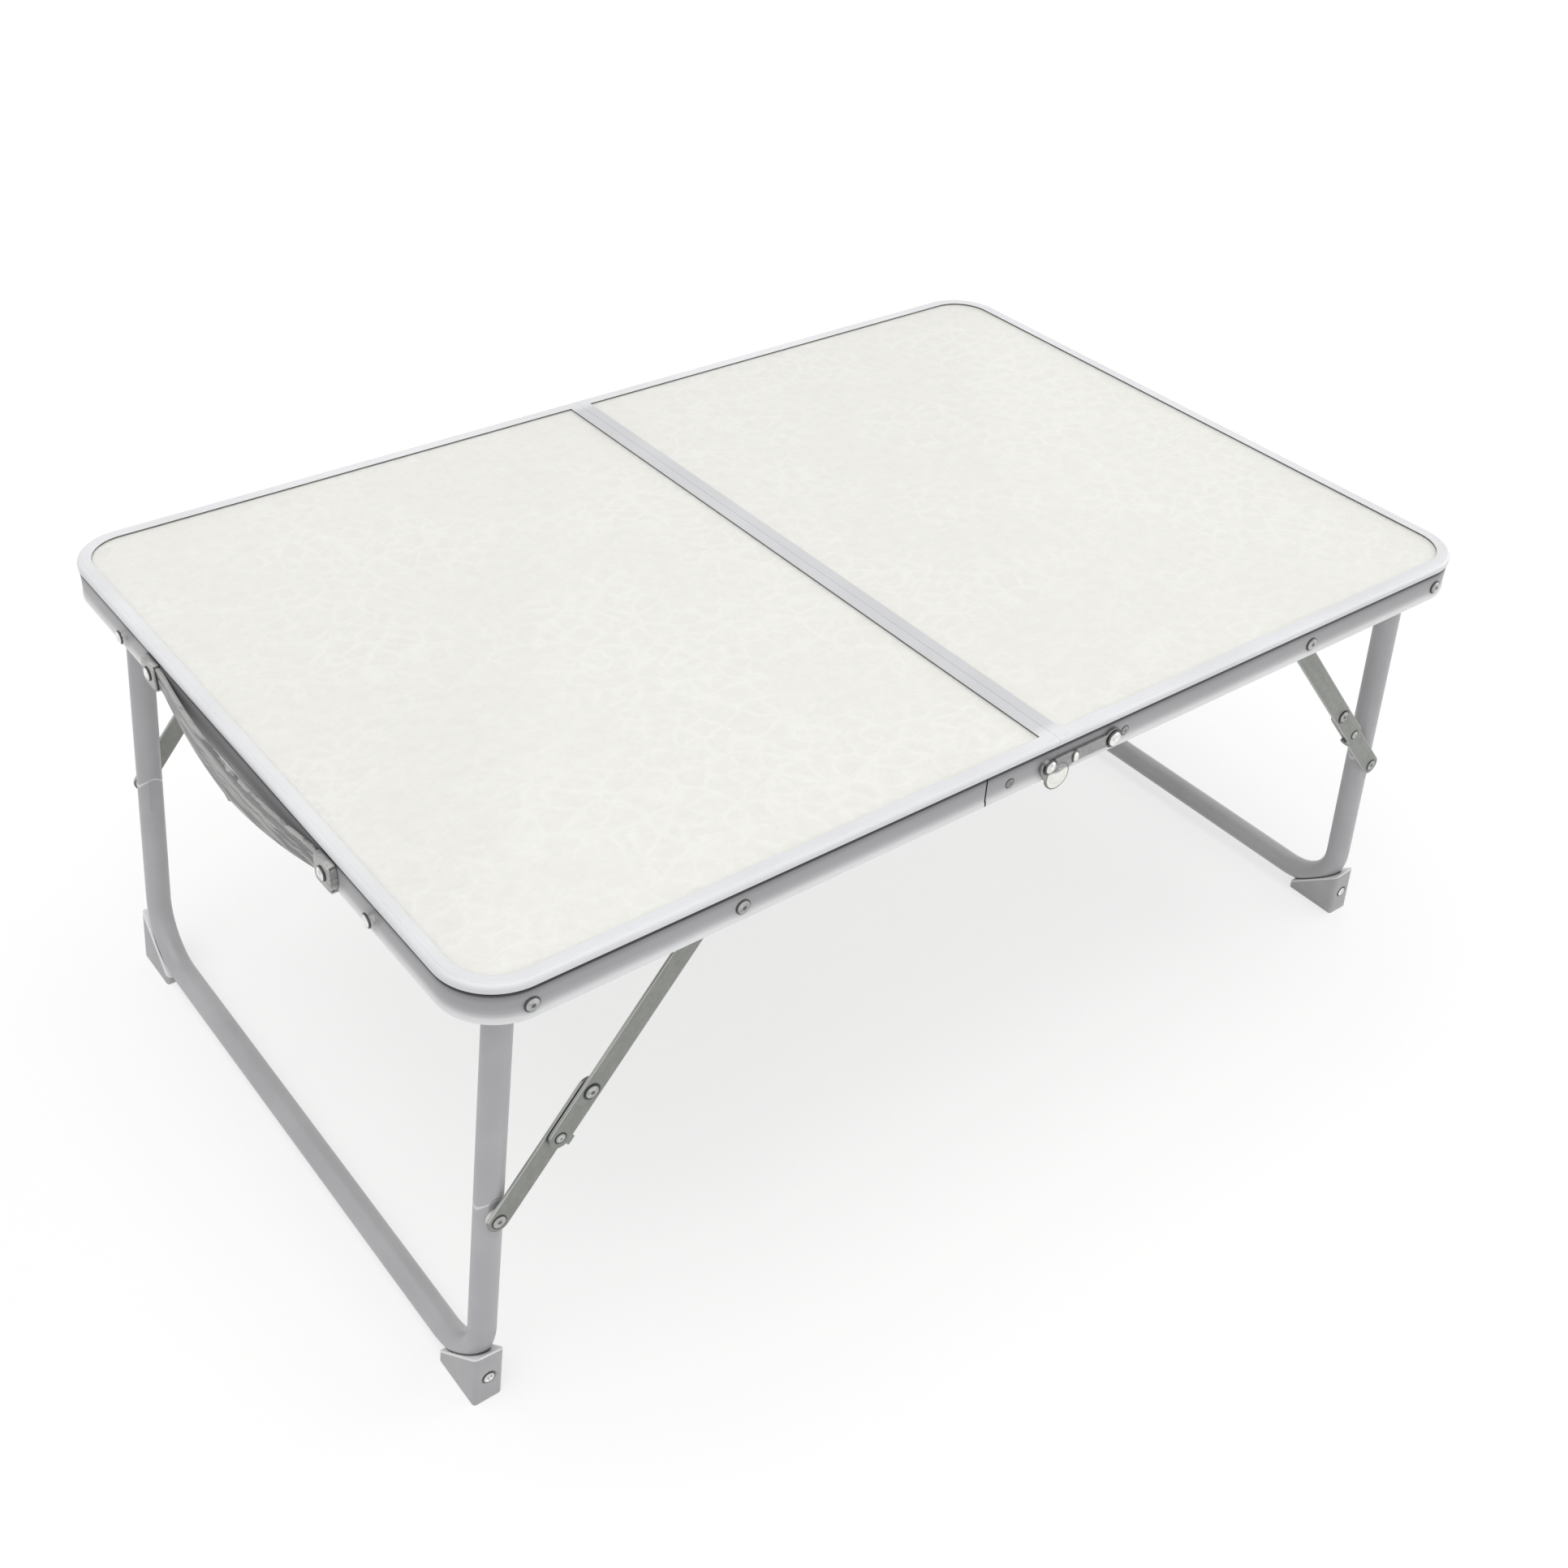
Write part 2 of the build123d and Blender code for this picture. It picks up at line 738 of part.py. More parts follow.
def make_side_hook(side, name):
    row = 1
    boss = (hook_pivot_from_seam, top - hook_pivot_below_top)
    stud = (-hook_stud_from_seam, top - hook_stud_below_top)
    bowl = (-hook_bowl_past_seam, top - hook_bowl_below_top)
    mouth = shank_radius + hook_mouth_play
    tip_top = stud[1] + hook_tip_above_stud
    tip_edge = stud[0] - mouth - hook_mouth_drift / 2
    with BuildPart() as hook:
        with BuildSketch(long_side(side, row, hook_inner)):
            with Locations(boss):
                Circle(hook_boss_radius)
            with Locations(bowl):
                Circle(hook_bowl_radius)
            # The arm runs level from the rivet and drops into the bowl
            with BuildLine():
                Polyline(
                    (boss[0], boss[1] + hook_arm_width / 2),
                    (stud[0] + mouth, boss[1] + hook_arm_width / 2),
                    (stud[0] + mouth, stud[1]),
                    (bowl[0], bowl[1]),
                    (bowl[0] + hook_bowl_radius, bowl[1]),
                    (bowl[0] + hook_bowl_radius, boss[1] - hook_arm_width / 2),
                    (boss[0], boss[1] - hook_arm_width / 2),
                    (boss[0], boss[1] + hook_arm_width / 2),
                )
            make_face()
            # The tip rises on the far side of the stud
            with BuildLine():
                Polyline(
                    (bowl[0], bowl[1]),
                    (bowl[0] - hook_bowl_radius, bowl[1]),
                    (tip_edge - hook_tip_width, stud[1]),
                    (tip_edge - hook_tip_width / 2, tip_top),
                    (tip_edge, tip_top),
                    (stud[0] - mouth, stud[1]),
                    (bowl[0], bowl[1]),
                )
            make_face()
            with Locations(stud):
                Circle(mouth, mode=Mode.SUBTRACT)
            with Locations(boss):
                Circle(shank_radius + run_play, mode=Mode.SUBTRACT)
        extrude(amount=row * hook_thickness)
        dish = on_long_side(side, row, hook_outer, *bowl)
        fastener(dish, hook_dish_radius, hook_dish_rise, hook_dish_radius / 2, hook_thickness / 2)
        knuckle = on_long_side(side, row, hook_outer, hook_knuckle_from_seam, boss[1])
        fastener(knuckle, hook_knuckle_radius, hook_knuckle_rise, hook_knuckle_radius / 2, hook_thickness / 2)
    save(hook, name)


def make_hook_rivet(side, name):
    grip = hook_outer + face_play - skirt_inner + plate_thickness + face_play
    with BuildPart() as rivet:
        spot = (hook_pivot_from_seam, top - hook_pivot_below_top)
        plane = on_long_side(side, 1, hook_outer + face_play, *spot)
        fastener(
            plane, hook_rivet_head_radius, hook_rivet_head_rise, shank_radius,
            grip, tail_radius, tail_rise,
        )
    save(rivet, name)


# Mushroom studs that the hooks cup, one beside the seam and on the left end two more
end_hook_inner = half_length + seat_gap
end_hook_outer = end_hook_inner + hook_thickness


def make_latch_studs(side, name):
    height = top - hook_stud_below_top
    planes = [on_long_side(side, -1, hook_outer + seat_gap, hook_stud_from_seam, height)]
    height = top - hook_pivot_below_top
    if side < 0:
        for way in (-1, 1):
            planes.append(
                on_short_side(side, end_hook_outer + seat_gap, way * end_latch_from_middle, height)
            )
    with BuildPart() as studs:
        for plane in planes:
            fastener(
                plane, stud_head_radius, stud_head_rise, shank_radius,
                hook_outer + seat_gap - skirt_inner, tail_radius, tail_rise,
            )
    save(studs, name)


# Hooks on the right end: they lie along the end and swing down to catch the studs of the shut table
def make_end_hook(way, name):
    side = 1
    height = top - hook_pivot_below_top
    reach = 2 * (height - hinge_axis_height)
    pivot = (way * end_latch_from_middle, height)
    seat = (way * (end_latch_from_middle + reach), height)
    mouth = shank_radius + hook_mouth_play
    tip = (way * (end_latch_from_middle + reach + end_hook_nose), height)
    half = end_hook_arm_width / 2
    with BuildPart() as hook:
        with BuildSketch(short_side(side, end_hook_inner)):
            with Locations(pivot):
                Circle(hook_boss_radius)
            with Locations(((pivot[0] + tip[0]) / 2, height)):
                Rectangle(abs(tip[0] - pivot[0]), end_hook_arm_width)
            with Locations(seat):
                Circle(end_hook_nose)
            # The mouth opens downwards
            with Locations(seat):
                Circle(mouth, mode=Mode.SUBTRACT)
            with Locations((seat[0], height - end_hook_nose / 2)):
                Rectangle(2 * mouth, end_hook_nose, mode=Mode.SUBTRACT)
            with Locations(pivot):
                Circle(shank_radius + run_play, mode=Mode.SUBTRACT)
        extrude(amount=-hook_thickness)
        # The thumb tab is bent out square from the top edge
        with BuildSketch(short_side(side, end_hook_inner)):
            with Locations((seat[0], height + end_hook_nose - hook_thickness / 2)):
                Rectangle(end_hook_tab_height, hook_thickness)
        extrude(amount=-end_hook_tab_reach)
    save(hook, name)


def make_end_hook_rivets(name):
    side = 1
    grip = end_hook_outer + face_play - (end_face - skirt_wall)
    with BuildPart() as rivets:
        for way in (-1, 1):
            plane = on_short_side(
                side, end_hook_outer + face_play, way * end_latch_from_middle, top - hook_pivot_below_top,
            )
            fastener(plane, rivet_head_radius, rivet_head_rise, shank_radius, grip, tail_radius, tail_rise)
    save(rivets, name)


# Handle: a springy plastic strap that hangs and bows out a little between two riveted clips
def make_handle_strap(name):
    height = top - hook_pivot_below_top
    face = end_face + seat_gap + strap_thickness / 2
    turn = 2 * atan(strap_bow / strap_free_half_length)
    wide = strap_free_half_length / sin(turn) - strap_bend_radius
    end = handle_clip_from_middle + handle_clip_length / 2 - handle_clip_wall - seat_gap
    with BuildPart() as strap:
        with BuildSketch(deck(-1, height + strap_end_height / 2)):
            with BuildLine() as line:
                first = Line((face, -end), (face, -strap_free_half_length))
                bend = JernArc(first @ 1, first % 1, strap_bend_radius, -degrees(turn))
                bow = JernArc(bend @ 1, bend % 1, wide, 2 * degrees(turn))
                back = JernArc(bow @ 1, bow % 1, strap_bend_radius, -degrees(turn))
                Line(back @ 1, (face, end))
            trace(line_width=strap_thickness)
        extrude(amount=strap_end_height / 2 + strap_middle_drop)
        # Both edges sag towards the middle, the lower one more than the upper
        with BuildSketch(short_side(-1, half_length + strap_bow + overrun)):
            with BuildLine():
                upper = height + strap_end_height / 2
                lower = height - strap_end_height / 2
                crest = height + strap_middle_rise
                belly = height - strap_middle_drop
                for edge, middle in ((upper, crest), (lower, belly)):
                    Line((-end, edge), (-strap_free_half_length, edge))
                    ThreePointArc((-strap_free_half_length, edge), (0, middle), (strap_free_half_length, edge))
                    Line((strap_free_half_length, edge), (end, edge))
                Line((-end, lower), (-end, upper))
                Line((end, lower), (end, upper))
            make_face()
        extrude(amount=2 * strap_bow + 2 * overrun, mode=Mode.INTERSECT)
        # Small nub under the middle, and the holes for the rivets
        with BuildSketch(short_side(-1, face + strap_bow - strap_thickness / 2)):
            with Locations((0, height - strap_middle_drop)):
                Rectangle(strap_nub_size, 2 * strap_nub_drop)
        extrude(amount=-strap_thickness)
        with BuildSketch(short_side(-1, half_length + overrun)):
            with Locations(*[(way * handle_clip_from_middle, height) for way in (-1, 1)]):
                Circle(shank_radius + run_play)
        extrude(amount=2 * overrun, mode=Mode.SUBTRACT)
    save(strap, name)


def make_handle_clips(name):
    height = top - hook_pivot_below_top
    depth = strap_thickness + 2 * seat_gap + handle_clip_wall
    with BuildPart() as clips:
        for way in (-1, 1):
            place = (way * handle_clip_from_middle, height)
            with BuildSketch(short_side(-1, end_face)):
                with Locations(place):
                    RectangleRounded(handle_clip_length, handle_clip_height, handle_clip_corner)
            extrude(amount=-depth)
            # Channel for the strap's end, open towards the middle of the table
            with BuildSketch(short_side(-1, end_face)):
                with Locations((place[0] - way * handle_clip_wall, height)):
                    Rectangle(handle_clip_length, strap_end_height + 2 * seat_gap)
            extrude(amount=-(depth - handle_clip_wall), mode=Mode.SUBTRACT)
        with BuildSketch(short_side(-1, end_face)):
            with Locations(*[(way * handle_clip_from_middle, height) for way in (-1, 1)]):
                Circle(shank_radius + run_play)
        extrude(amount=-depth - overrun, mode=Mode.SUBTRACT)
    save(clips, name)


def make_handle_rivets(name):
    depth = strap_thickness + 2 * seat_gap + handle_clip_wall
    grip = depth + skirt_wall
    with BuildPart() as rivets:
        for way in (-1, 1):
            plane = on_short_side(
                -1, end_face + depth, way * handle_clip_from_middle, top - hook_pivot_below_top,
            )
            fastener(plane, rivet_head_radius, rivet_head_rise, shank_radius, grip, tail_radius, tail_rise)
    save(rivets, name)


def make_foot_screws(side, name):
    with BuildPart() as screws:
        for row in (-1, 1):
            fastener(
                foot_screw_place(side, row), screw_head_radius, screw_head_rise,
                screw_shank_radius, screw_length - face_play,
            )
    save(screws, name)


# The two halves and their legs, then the stays at the four corners
joiner_middle = strip_joint_from_seam
backing_middle = (hook_pivot_from_seam + backing_rivet_from_seam) / 2
for side, half in ((-1, "left"), (1, "right")):
    make_edge_frame(side, f"{half}_edge_frame")
    make_board(side, f"{half}_board")
    make_inner_plate(
        side, -1, joiner_middle, joiner_length,
        [((joiner_rivet_from_seam, pivot_height), flush_shank_radius)], f"{half}_strip_joiner",
    )
    make_inner_plate(
        side, 1, backing_middle, backing_length,
        [
            ((hook_pivot_from_seam, top - hook_pivot_below_top), shank_radius),
            ((backing_rivet_from_seam, pivot_height), flush_shank_radius),
        ],
        f"{half}_hook_backing_plate",
    )
    make_flush_rivets(side, f"{half}_flush_rivets")
    make_leg_rivets(side, f"{half}_leg_rivets")
    make_leg_bushes(side, f"{half}_leg_bushes")
    make_rail_rivets(side, f"{half}_stay_rail_rivets")
    make_rail_bushes(side, f"{half}_stay_rail_bushes")
    make_hinge_leaf(side, f"{half}_hinge_leaves")
    make_latch_studs(side, f"{half}_latch_studs")
    make_side_hook(side, f"{half}_side_hook")
    make_hook_rivet(side, f"{half}_side_hook_rivet")
    make_leg_tube(side, f"{half}_leg_tube")
    make_leg_sleeves(side, f"{half}_leg_sleeves")
    make_foot_screws(side, f"{half}_foot_screws")
    for row in (-1, 1):
        bank = "front" if side * row > 0 else "back"
        make_foot(side, row, f"{half}_{bank}_foot")
        make_upper_link(side, row, f"{half}_{bank}_upper_link")
        make_lower_link(side, row, f"{half}_{bank}_lower_link")
        make_knee_rivet(side, row, f"{half}_{bank}_knee_rivet")
        make_end_rivet(side, row, f"{half}_{bank}_end_rivet")

# What spans the seam, and the fittings of the two ends
make_hinge_pins("hinge_pins")
make_end_hook(-1, "back_end_hook")
make_end_hook(1, "front_end_hook")
make_end_hook_rivets("end_hook_rivets")
make_handle_strap("handle_strap")
make_handle_clips("handle_clips")
make_handle_rivets("handle_rivets")
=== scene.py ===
from math import asin, atan, atan2, cos, hypot, pi, radians, sin, sqrt, tan

import bmesh
import bpy
from mathutils import Matrix, Vector


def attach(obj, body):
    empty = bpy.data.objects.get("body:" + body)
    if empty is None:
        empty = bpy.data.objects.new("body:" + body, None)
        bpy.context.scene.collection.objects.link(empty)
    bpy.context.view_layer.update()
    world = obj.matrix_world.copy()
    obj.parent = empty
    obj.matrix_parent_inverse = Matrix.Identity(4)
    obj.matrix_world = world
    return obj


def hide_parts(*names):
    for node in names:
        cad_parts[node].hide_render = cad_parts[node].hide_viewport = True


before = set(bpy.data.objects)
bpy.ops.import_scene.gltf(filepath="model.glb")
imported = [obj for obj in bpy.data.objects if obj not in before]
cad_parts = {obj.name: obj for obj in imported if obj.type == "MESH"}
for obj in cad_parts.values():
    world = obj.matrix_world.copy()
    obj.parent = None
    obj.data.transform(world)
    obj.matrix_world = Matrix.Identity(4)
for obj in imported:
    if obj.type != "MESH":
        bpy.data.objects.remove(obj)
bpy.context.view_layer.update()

# Edge strips. One light grey aluminium strip is bent round each half of the top: a lip over the board, a
# round nose, a groove, and a skirt that ends in a rolled bead. A rail of the same stock closes it along the
# seam. The strip's two ends meet in a saw-cut joint near the seam.
mm = 0.001
table_top = 257.0
half_length = 300.0
half_width = 200.0
seam_face = 0.06
corner_radius = 28.0
joint_from_seam = 43.0
joint_width = 0.7
skirt_depth = 20.0
rail_end = half_width - 1.65
joint_shows_below = 252.6
rail_tone_ends = (186.0, 194.0)

# The left half is the right one turned about; what lies in front on the right lies behind on the left
halves = (
    ("right", Matrix.Identity(4), {1: "front", -1: "back"}),
    ("left", Matrix.Rotation(pi, 4, "Z"), {1: "back", -1: "front"}),
)


class Wire:
    """An output of a node, which takes part in sums as a number does."""

    def __init__(self, bench, socket):
        self.bench = bench
        self.socket = socket

    def __getitem__(self, name):
        outputs = self.socket.node.outputs
        return Wire(self.bench, next(s for s in outputs if s.enabled and s.name == name))

    def maths(self, operation, *values):
        return self.bench.add("ShaderNodeMath", {"operation": operation}, dict(enumerate(values)))

    def __add__(self, other):
        return self.maths("ADD", self, other)

    def __sub__(self, other):
        return self.maths("SUBTRACT", self, other)

    def __rsub__(self, other):
        return self.maths("SUBTRACT", other, self)

    def __mul__(self, other):
        return self.maths("MULTIPLY", self, other)

    def __truediv__(self, other):
        return self.maths("DIVIDE", self, other)

    def __pow__(self, other):
        return self.maths("POWER", self, other)

    def __lt__(self, other):
        return self.maths("LESS_THAN", self, other)

    def __gt__(self, other):
        return self.maths("GREATER_THAN", self, other)

    def __abs__(self):
        return self.maths("ABSOLUTE", self)

    def larger(self, other):
        return self.maths("MAXIMUM", self, other)

    __radd__ = __add__
    __rmul__ = __mul__


class Bench:
    """A tree of nodes being wired, for a finish or for a shape."""

    def __init__(self, tree):
        self.tree = tree

    def add(self, kind, settings=None, sockets=None):
        node = self.tree.nodes.new(kind)
        for name, value in (settings or {}).items():
            if name == "stops":
                ramp = node.color_ramp
                ramp.elements[0].position, ramp.elements[0].color = value[0][0], (*value[0][1], 1)
                ramp.elements[1].position, ramp.elements[1].color = value[-1][0], (*value[-1][1], 1)
                for position, colour in value[1:-1]:
                    ramp.elements.new(position).color = (*colour, 1)
            else:
                setattr(node, name, value)
        for key, value in (sockets or {}).items():
            if isinstance(key, int):
                socket = node.inputs[key]
            else:
                socket = next(s for s in node.inputs if s.enabled and s.name == key)
            if isinstance(value, Wire):
                self.tree.links.new(value.socket, socket)
            else:
                socket.default_value = value
        shown = [s for s in node.outputs if s.enabled]
        return Wire(self, shown[0]) if shown else node

    def place(self):
        return self.add("ShaderNodeTexCoord")["Object"]

    def noise(self, place, scale, detail=3.0, roughness=0.5, distortion=0.0):
        return self.add("ShaderNodeTexNoise", None, {
            "Vector": place, "Scale": scale, "Detail": detail, "Roughness": roughness,
            "Distortion": distortion,
        })

    def parts(self, place):
        return self.add("ShaderNodeSeparateXYZ", None, {"Vector": place})

    def stretched(self, place, stretch, turn=(0, 0, 0)):
        return self.add("ShaderNodeMapping", None, {"Vector": place, "Rotation": turn, "Scale": stretch})

    def mix(self, amount, first, second, blend="MIX"):
        first, second = ((*c, 1) if isinstance(c, tuple) else c for c in (first, second))
        return self.add(
            "ShaderNodeMix", {"data_type": "RGBA", "blend_type": blend},
            {"Factor": amount, "A": first, "B": second},
        )

    def between(self, value, low, high, to_low=0.0, to_high=1.0):
        return self.add(
            "ShaderNodeMapRange", {"interpolation_type": "SMOOTHSTEP"},
            {"Value": value, "From Min": low, "From Max": high, "To Min": to_low, "To Max": to_high},
        )

    def within(self, value, near, far, most=1.0):
        """Full up to a near distance and nought from a far one, both in millimetres."""
        return self.between(value, near * mm, far * mm, most, 0.0)

    def relief(self, height, depth, strength=1.0):
        return self.add("ShaderNodeBump", None, {"Height": height, "Distance": depth, "Strength": strength})

    def coat(self, sockets):
        shader = self.add("ShaderNodeBsdfPrincipled", None, sockets)
        self.add("ShaderNodeOutputMaterial", None, {"Surface": shader})

    def give_out(self, shape, finish):
        """Ends a tree of shapes: what it made comes out as real mesh in its finish."""
        real = self.add("GeometryNodeRealizeInstances", None, {0: shape})
        dressed = self.add("GeometryNodeSetMaterial", None, {"Geometry": real, "Material": finish})
        self.add("NodeGroupOutput", None, {0: dressed})


def new_finish(name):
    finish = bpy.data.materials.new(name)
    finish.use_nodes = True
    finish.node_tree.nodes.clear()
    return finish, Bench(finish.node_tree)


def new_tree(name, inputs):
    tree = bpy.data.node_groups.new(name, "GeometryNodeTree")
    tree.interface.new_socket("Geometry", in_out="INPUT", socket_type="NodeSocketGeometry")
    for label, kind in inputs.items():
        tree.interface.new_socket(label, in_out="INPUT", socket_type="NodeSocket" + kind)
    tree.interface.new_socket("Geometry", in_out="OUTPUT", socket_type="NodeSocketGeometry")
    bench = Bench(tree)
    return tree, bench, bench.add("NodeGroupInput")


def shown(data, name="blank"):
    thing = bpy.data.objects.new(name, data)
    bpy.context.scene.collection.objects.link(thing)
    return thing


def worked(thing, *helpers):
    """The mesh that an object's modifiers give; the object and its helpers are cleared away."""
    seen = bpy.context.evaluated_depsgraph_get()
    shape = bpy.data.meshes.new_from_object(thing.evaluated_get(seen))
    for spent in (thing, *helpers):
        bpy.data.objects.remove(spent)
    return shape


def run_tree(thing, tree, inputs, *helpers):
    modifier = thing.modifiers.new(tree.name, "NODES")
    modifier.node_group = tree
    for item in tree.interface.items_tree:
        if item.in_out == "INPUT" and item.name in inputs:
            modifier[item.identifier] = inputs[item.name]
    return worked(thing, *helpers)


def wound(line):
    """An outline that runs counter-clockwise."""
    area = sum(a[0] * b[1] - b[0] * a[1] for a, b in zip(line, line[1:] + line[:1]))
    return line if area > 0 else line[::-1]


def rounded(corners, fineness=5):
    """An outline through corners given as (x, y, radius), in millimetres."""
    line = []
    for index, (x, y, radius) in enumerate(corners):
        here = Vector((x, y))
        before = (Vector(corners[index - 1][:2]) - here).normalized()
        after = (Vector(corners[(index + 1) % len(corners)][:2]) - here).normalized()
        if radius == 0:
            line.append((x, y))
            continue
        opening = before.angle(after)
        middle = here + (before + after).normalized() * radius / sin(opening / 2)
        reach = radius / tan(opening / 2)
        start = here + before * reach - middle
        end = here + after * reach - middle
        swing = atan2(start.x * end.y - start.y * end.x, start.dot(end))
        steps = max(2, round(abs(swing) / (pi / 2) * fineness))
        for step in range(steps + 1):
            angle = swing * step / steps
            line.append((
                middle.x + start.x * cos(angle) - start.y * sin(angle),
                middle.y + start.x * sin(angle) + start.y * cos(angle),
            ))
    return wound(line)


def drawn(points, closed):
    """A line through points in millimetres."""
    line = bpy.data.curves.new("line", "CURVE")
    line.dimensions = "3D"
    run = line.splines.new("POLY")
    run.points.add(len(points) - 1)
    for spot, point in zip(run.points, points):
        spot.co = (*[c * mm for c in (*point, 0)[:3]], 1)
    run.use_cyclic_u = closed
    return line


def box(low, high):
    """A block between two corners in millimetres, for cutting."""
    form = bmesh.new()
    bmesh.ops.create_cube(form, size=1)
    for vertex in form.verts:
        vertex.co = [(a + b) / 2 + c * (b - a) for a, b, c in zip(low, high, vertex.co)]
    return from_form(form)


def from_form(form, scale=mm):
    bmesh.ops.scale(form, vec=(scale, scale, scale), verts=form.verts)
    shape = bpy.data.meshes.new("shape")
    form.to_mesh(shape)
    form.free()
    return shape


def carved(shape, tools, operation="DIFFERENCE"):
    thing = shown(shape)
    helpers = [shown(tool) for tool in tools]
    for helper in helpers:
        cut = thing.modifiers.new("cut", "BOOLEAN")
        cut.operation, cut.solver, cut.object = operation, "EXACT", helper
    return worked(thing, *helpers)


def placed(shape, matrix):
    shape = shape.copy()
    shape.transform(matrix)
    if matrix.determinant() < 0:
        shape.flip_normals()
    return shape


def joined(shapes):
    form = bmesh.new()
    for shape in shapes:
        form.from_mesh(shape)
    return from_form(form, 1)


def fit(name, shape, finish, body, nodes, crease=35):
    """A finished piece: its mesh in place, smooth but for its edges, riding on its body."""
    shape.materials.clear()
    shape.materials.append(finish)
    shape.polygons.foreach_set("material_index", [0] * len(shape.polygons))
    shape.shade_smooth()
    shape.set_sharp_from_angle(angle=radians(crease))
    piece = shown(shape, name)
    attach(piece, body)
    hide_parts(*nodes)
    return piece


def fit_halves(name, shape, finish, body, node, crease=35):
    """The same piece in each half of the table, riding on the half or on its leg."""
    for half, turn, banks in halves:
        fit(f"{half}_{name}", placed(shape, turn), finish, f"{half}_{body}", [f"{half}_{node}"], crease)


strip_outline = rounded([
    (7.0, 0.0, 0.4), (2.9, 0.0, 0), (2.6, 0.2, 0), (2.3, 0.0, 0), (0.0, 0.0, 2.0), (0.0, 3.7, 0.5),
    (1.1, 4.1, 0.3), (1.1, 4.6, 0.3), (0.5, 5.0, 0.5), (0.5, 16.4, 1.5), (0.0, 17.4, 0.8),
    (0.0, 20.0, 1.3), (3.8, 20.0, 0.4), (3.8, 18.8, 0.4), (1.7, 18.8, 0.4),
    (1.7, 6.1, 0.4), (6.5, 6.1, 0.4), (6.5, 5.0, 0.4), (2.6, 5.0, 0), (2.6, 1.0, 0), (7.0, 1.0, 0.4),
])
seam_outline = rounded([
    (6.5, 0.0, 0.4), (0.0, 0.0, 0.25), (0.0, 20.0, 1.3), (13.0, 20.0, 0.4), (13.0, 18.8, 0.4),
    (1.2, 18.8, 0.4), (1.2, 6.1, 0.4), (6.5, 6.1, 0.4), (6.5, 5.0, 0.4), (2.2, 5.0, 0), (2.2, 1.0, 0),
    (6.5, 1.0, 0.4),
])

edge_paint, bench = new_finish("light_grey_strip_paint")
place = bench.place()
die_lines = bench.noise(bench.stretched(place, (18, 18, 2600)), 1.0, 2.0)
cloud = bench.noise(place, 14.0, 4.0)
grit = bench.noise(place, 1900.0, 2.0)
handling = bench.between(bench.noise(place, 55.0, 5.0, 0.62, 0.6), 0.52, 0.72)
part = bench.parts(place)
tilt = bench.parts(bench.add("ShaderNodeTexCoord")["Normal"])["Z"]
down = (table_top * mm - part["Z"]) / (skirt_depth * mm)
# Painted light and shade by height: shade in the groove and down the skirt, a highlight on the bead
painted_light_and_shade_bands = bench.add("ShaderNodeValToRGB", {"stops": [
    (0.0, (0.8, 0.805, 0.82)), (0.175, (0.78, 0.785, 0.8)), (0.195, (0.04, 0.04, 0.045)),
    (0.265, (0.04, 0.04, 0.045)), (0.3, (0.25, 0.25, 0.26)), (0.42, (0.36, 0.36, 0.37)),
    (0.6, (0.4, 0.4, 0.41)), (0.7, (0.46, 0.46, 0.47)), (0.8, (0.64, 0.64, 0.65)), (0.9, (0.86, 0.86, 0.87)),
    (1.0, (0.9, 0.9, 0.9)),
]}, {"Fac": down})
# Painted shade: the lip's inner end faces are near black, for the shade in the gap over the board
painted_lip_edge_shade = (abs(tilt) < 0.45) * (down < 0.053) * (abs(part["X"]) > 3 * mm)
along = 0.0 - part["X"] * part["Y"].maths("SIGN", part["Y"])
saw_cut = (abs(along + joint_from_seam * mm) < 0.45 * mm) * (part["Z"] < joint_shows_below * mm)
off_rail = bench.between(abs(part["X"]), 6.7 * mm, 7.0 * mm)
off_rail = off_rail.larger(bench.between(abs(part["Y"]), *(y * mm for y in rail_tone_ends)))
tone = bench.between(cloud * 0.6 + die_lines * 0.4, 0.3, 0.7, 0.93, 1.03) * (0.8 + 0.2 * off_rail)
tone = bench.add("ShaderNodeCombineColor", None, {0: tone, 1: tone, 2: tone})
painted = bench.mix(1.0, painted_light_and_shade_bands, tone, "MULTIPLY")
bench.coat({
    "Base Color": bench.mix(painted_lip_edge_shade.larger(saw_cut), painted, (0.045, 0.045, 0.045)),
    "Roughness": 0.3 + 0.1 * cloud + 0.08 * handling,
    "Normal": bench.relief(die_lines * 0.6 + grit * 0.4, 0.00003, 0.5),
})

bent_stock, bench, given = new_tree(
    "bent_stock",
    {
        "Section": "Object", "Corner Radius": "Float", "Corner Steps": "Int", "Step": "Float",
        "Finish": "Material",
    },
)
corners = bench.add(
    "GeometryNodeFilletCurve", {"mode": "POLY"},
    {"Curve": given["Geometry"], "Count": given["Corner Steps"], "Radius": given["Corner Radius"]},
)
resampled = bench.add(
    "GeometryNodeResampleCurve", {"mode": "LENGTH"}, {"Curve": corners, "Length": given["Step"]}
)
divided = bench.add(
    "GeometryNodeSwitch", {"input_type": "GEOMETRY"},
    {"Switch": given["Step"] > 0, "False": corners, "True": resampled},
)
level = bench.add("GeometryNodeSetCurveNormal", {"mode": "Z_UP"}, {"Curve": divided})
section = bench.add("GeometryNodeObjectInfo", None, {"Object": given["Section"]})["Geometry"]
swept = bench.add(
    "GeometryNodeCurveToMesh", None, {"Curve": level, "Profile Curve": section, "Fill Caps": True}
)
bench.give_out(swept, given["Finish"])


def bent(points, outline, finish, radius=0.0, steps=1, step=0.0):
    """Stock of one section run along a path and bent round its corners."""
    section = shown(drawn(outline, True))
    inputs = {
        "Section": section, "Corner Radius": radius * mm, "Corner Steps": steps,
        "Step": step * mm, "Finish": finish,
    }
    return run_tree(shown(drawn(points, False)), bent_stock, inputs, section)


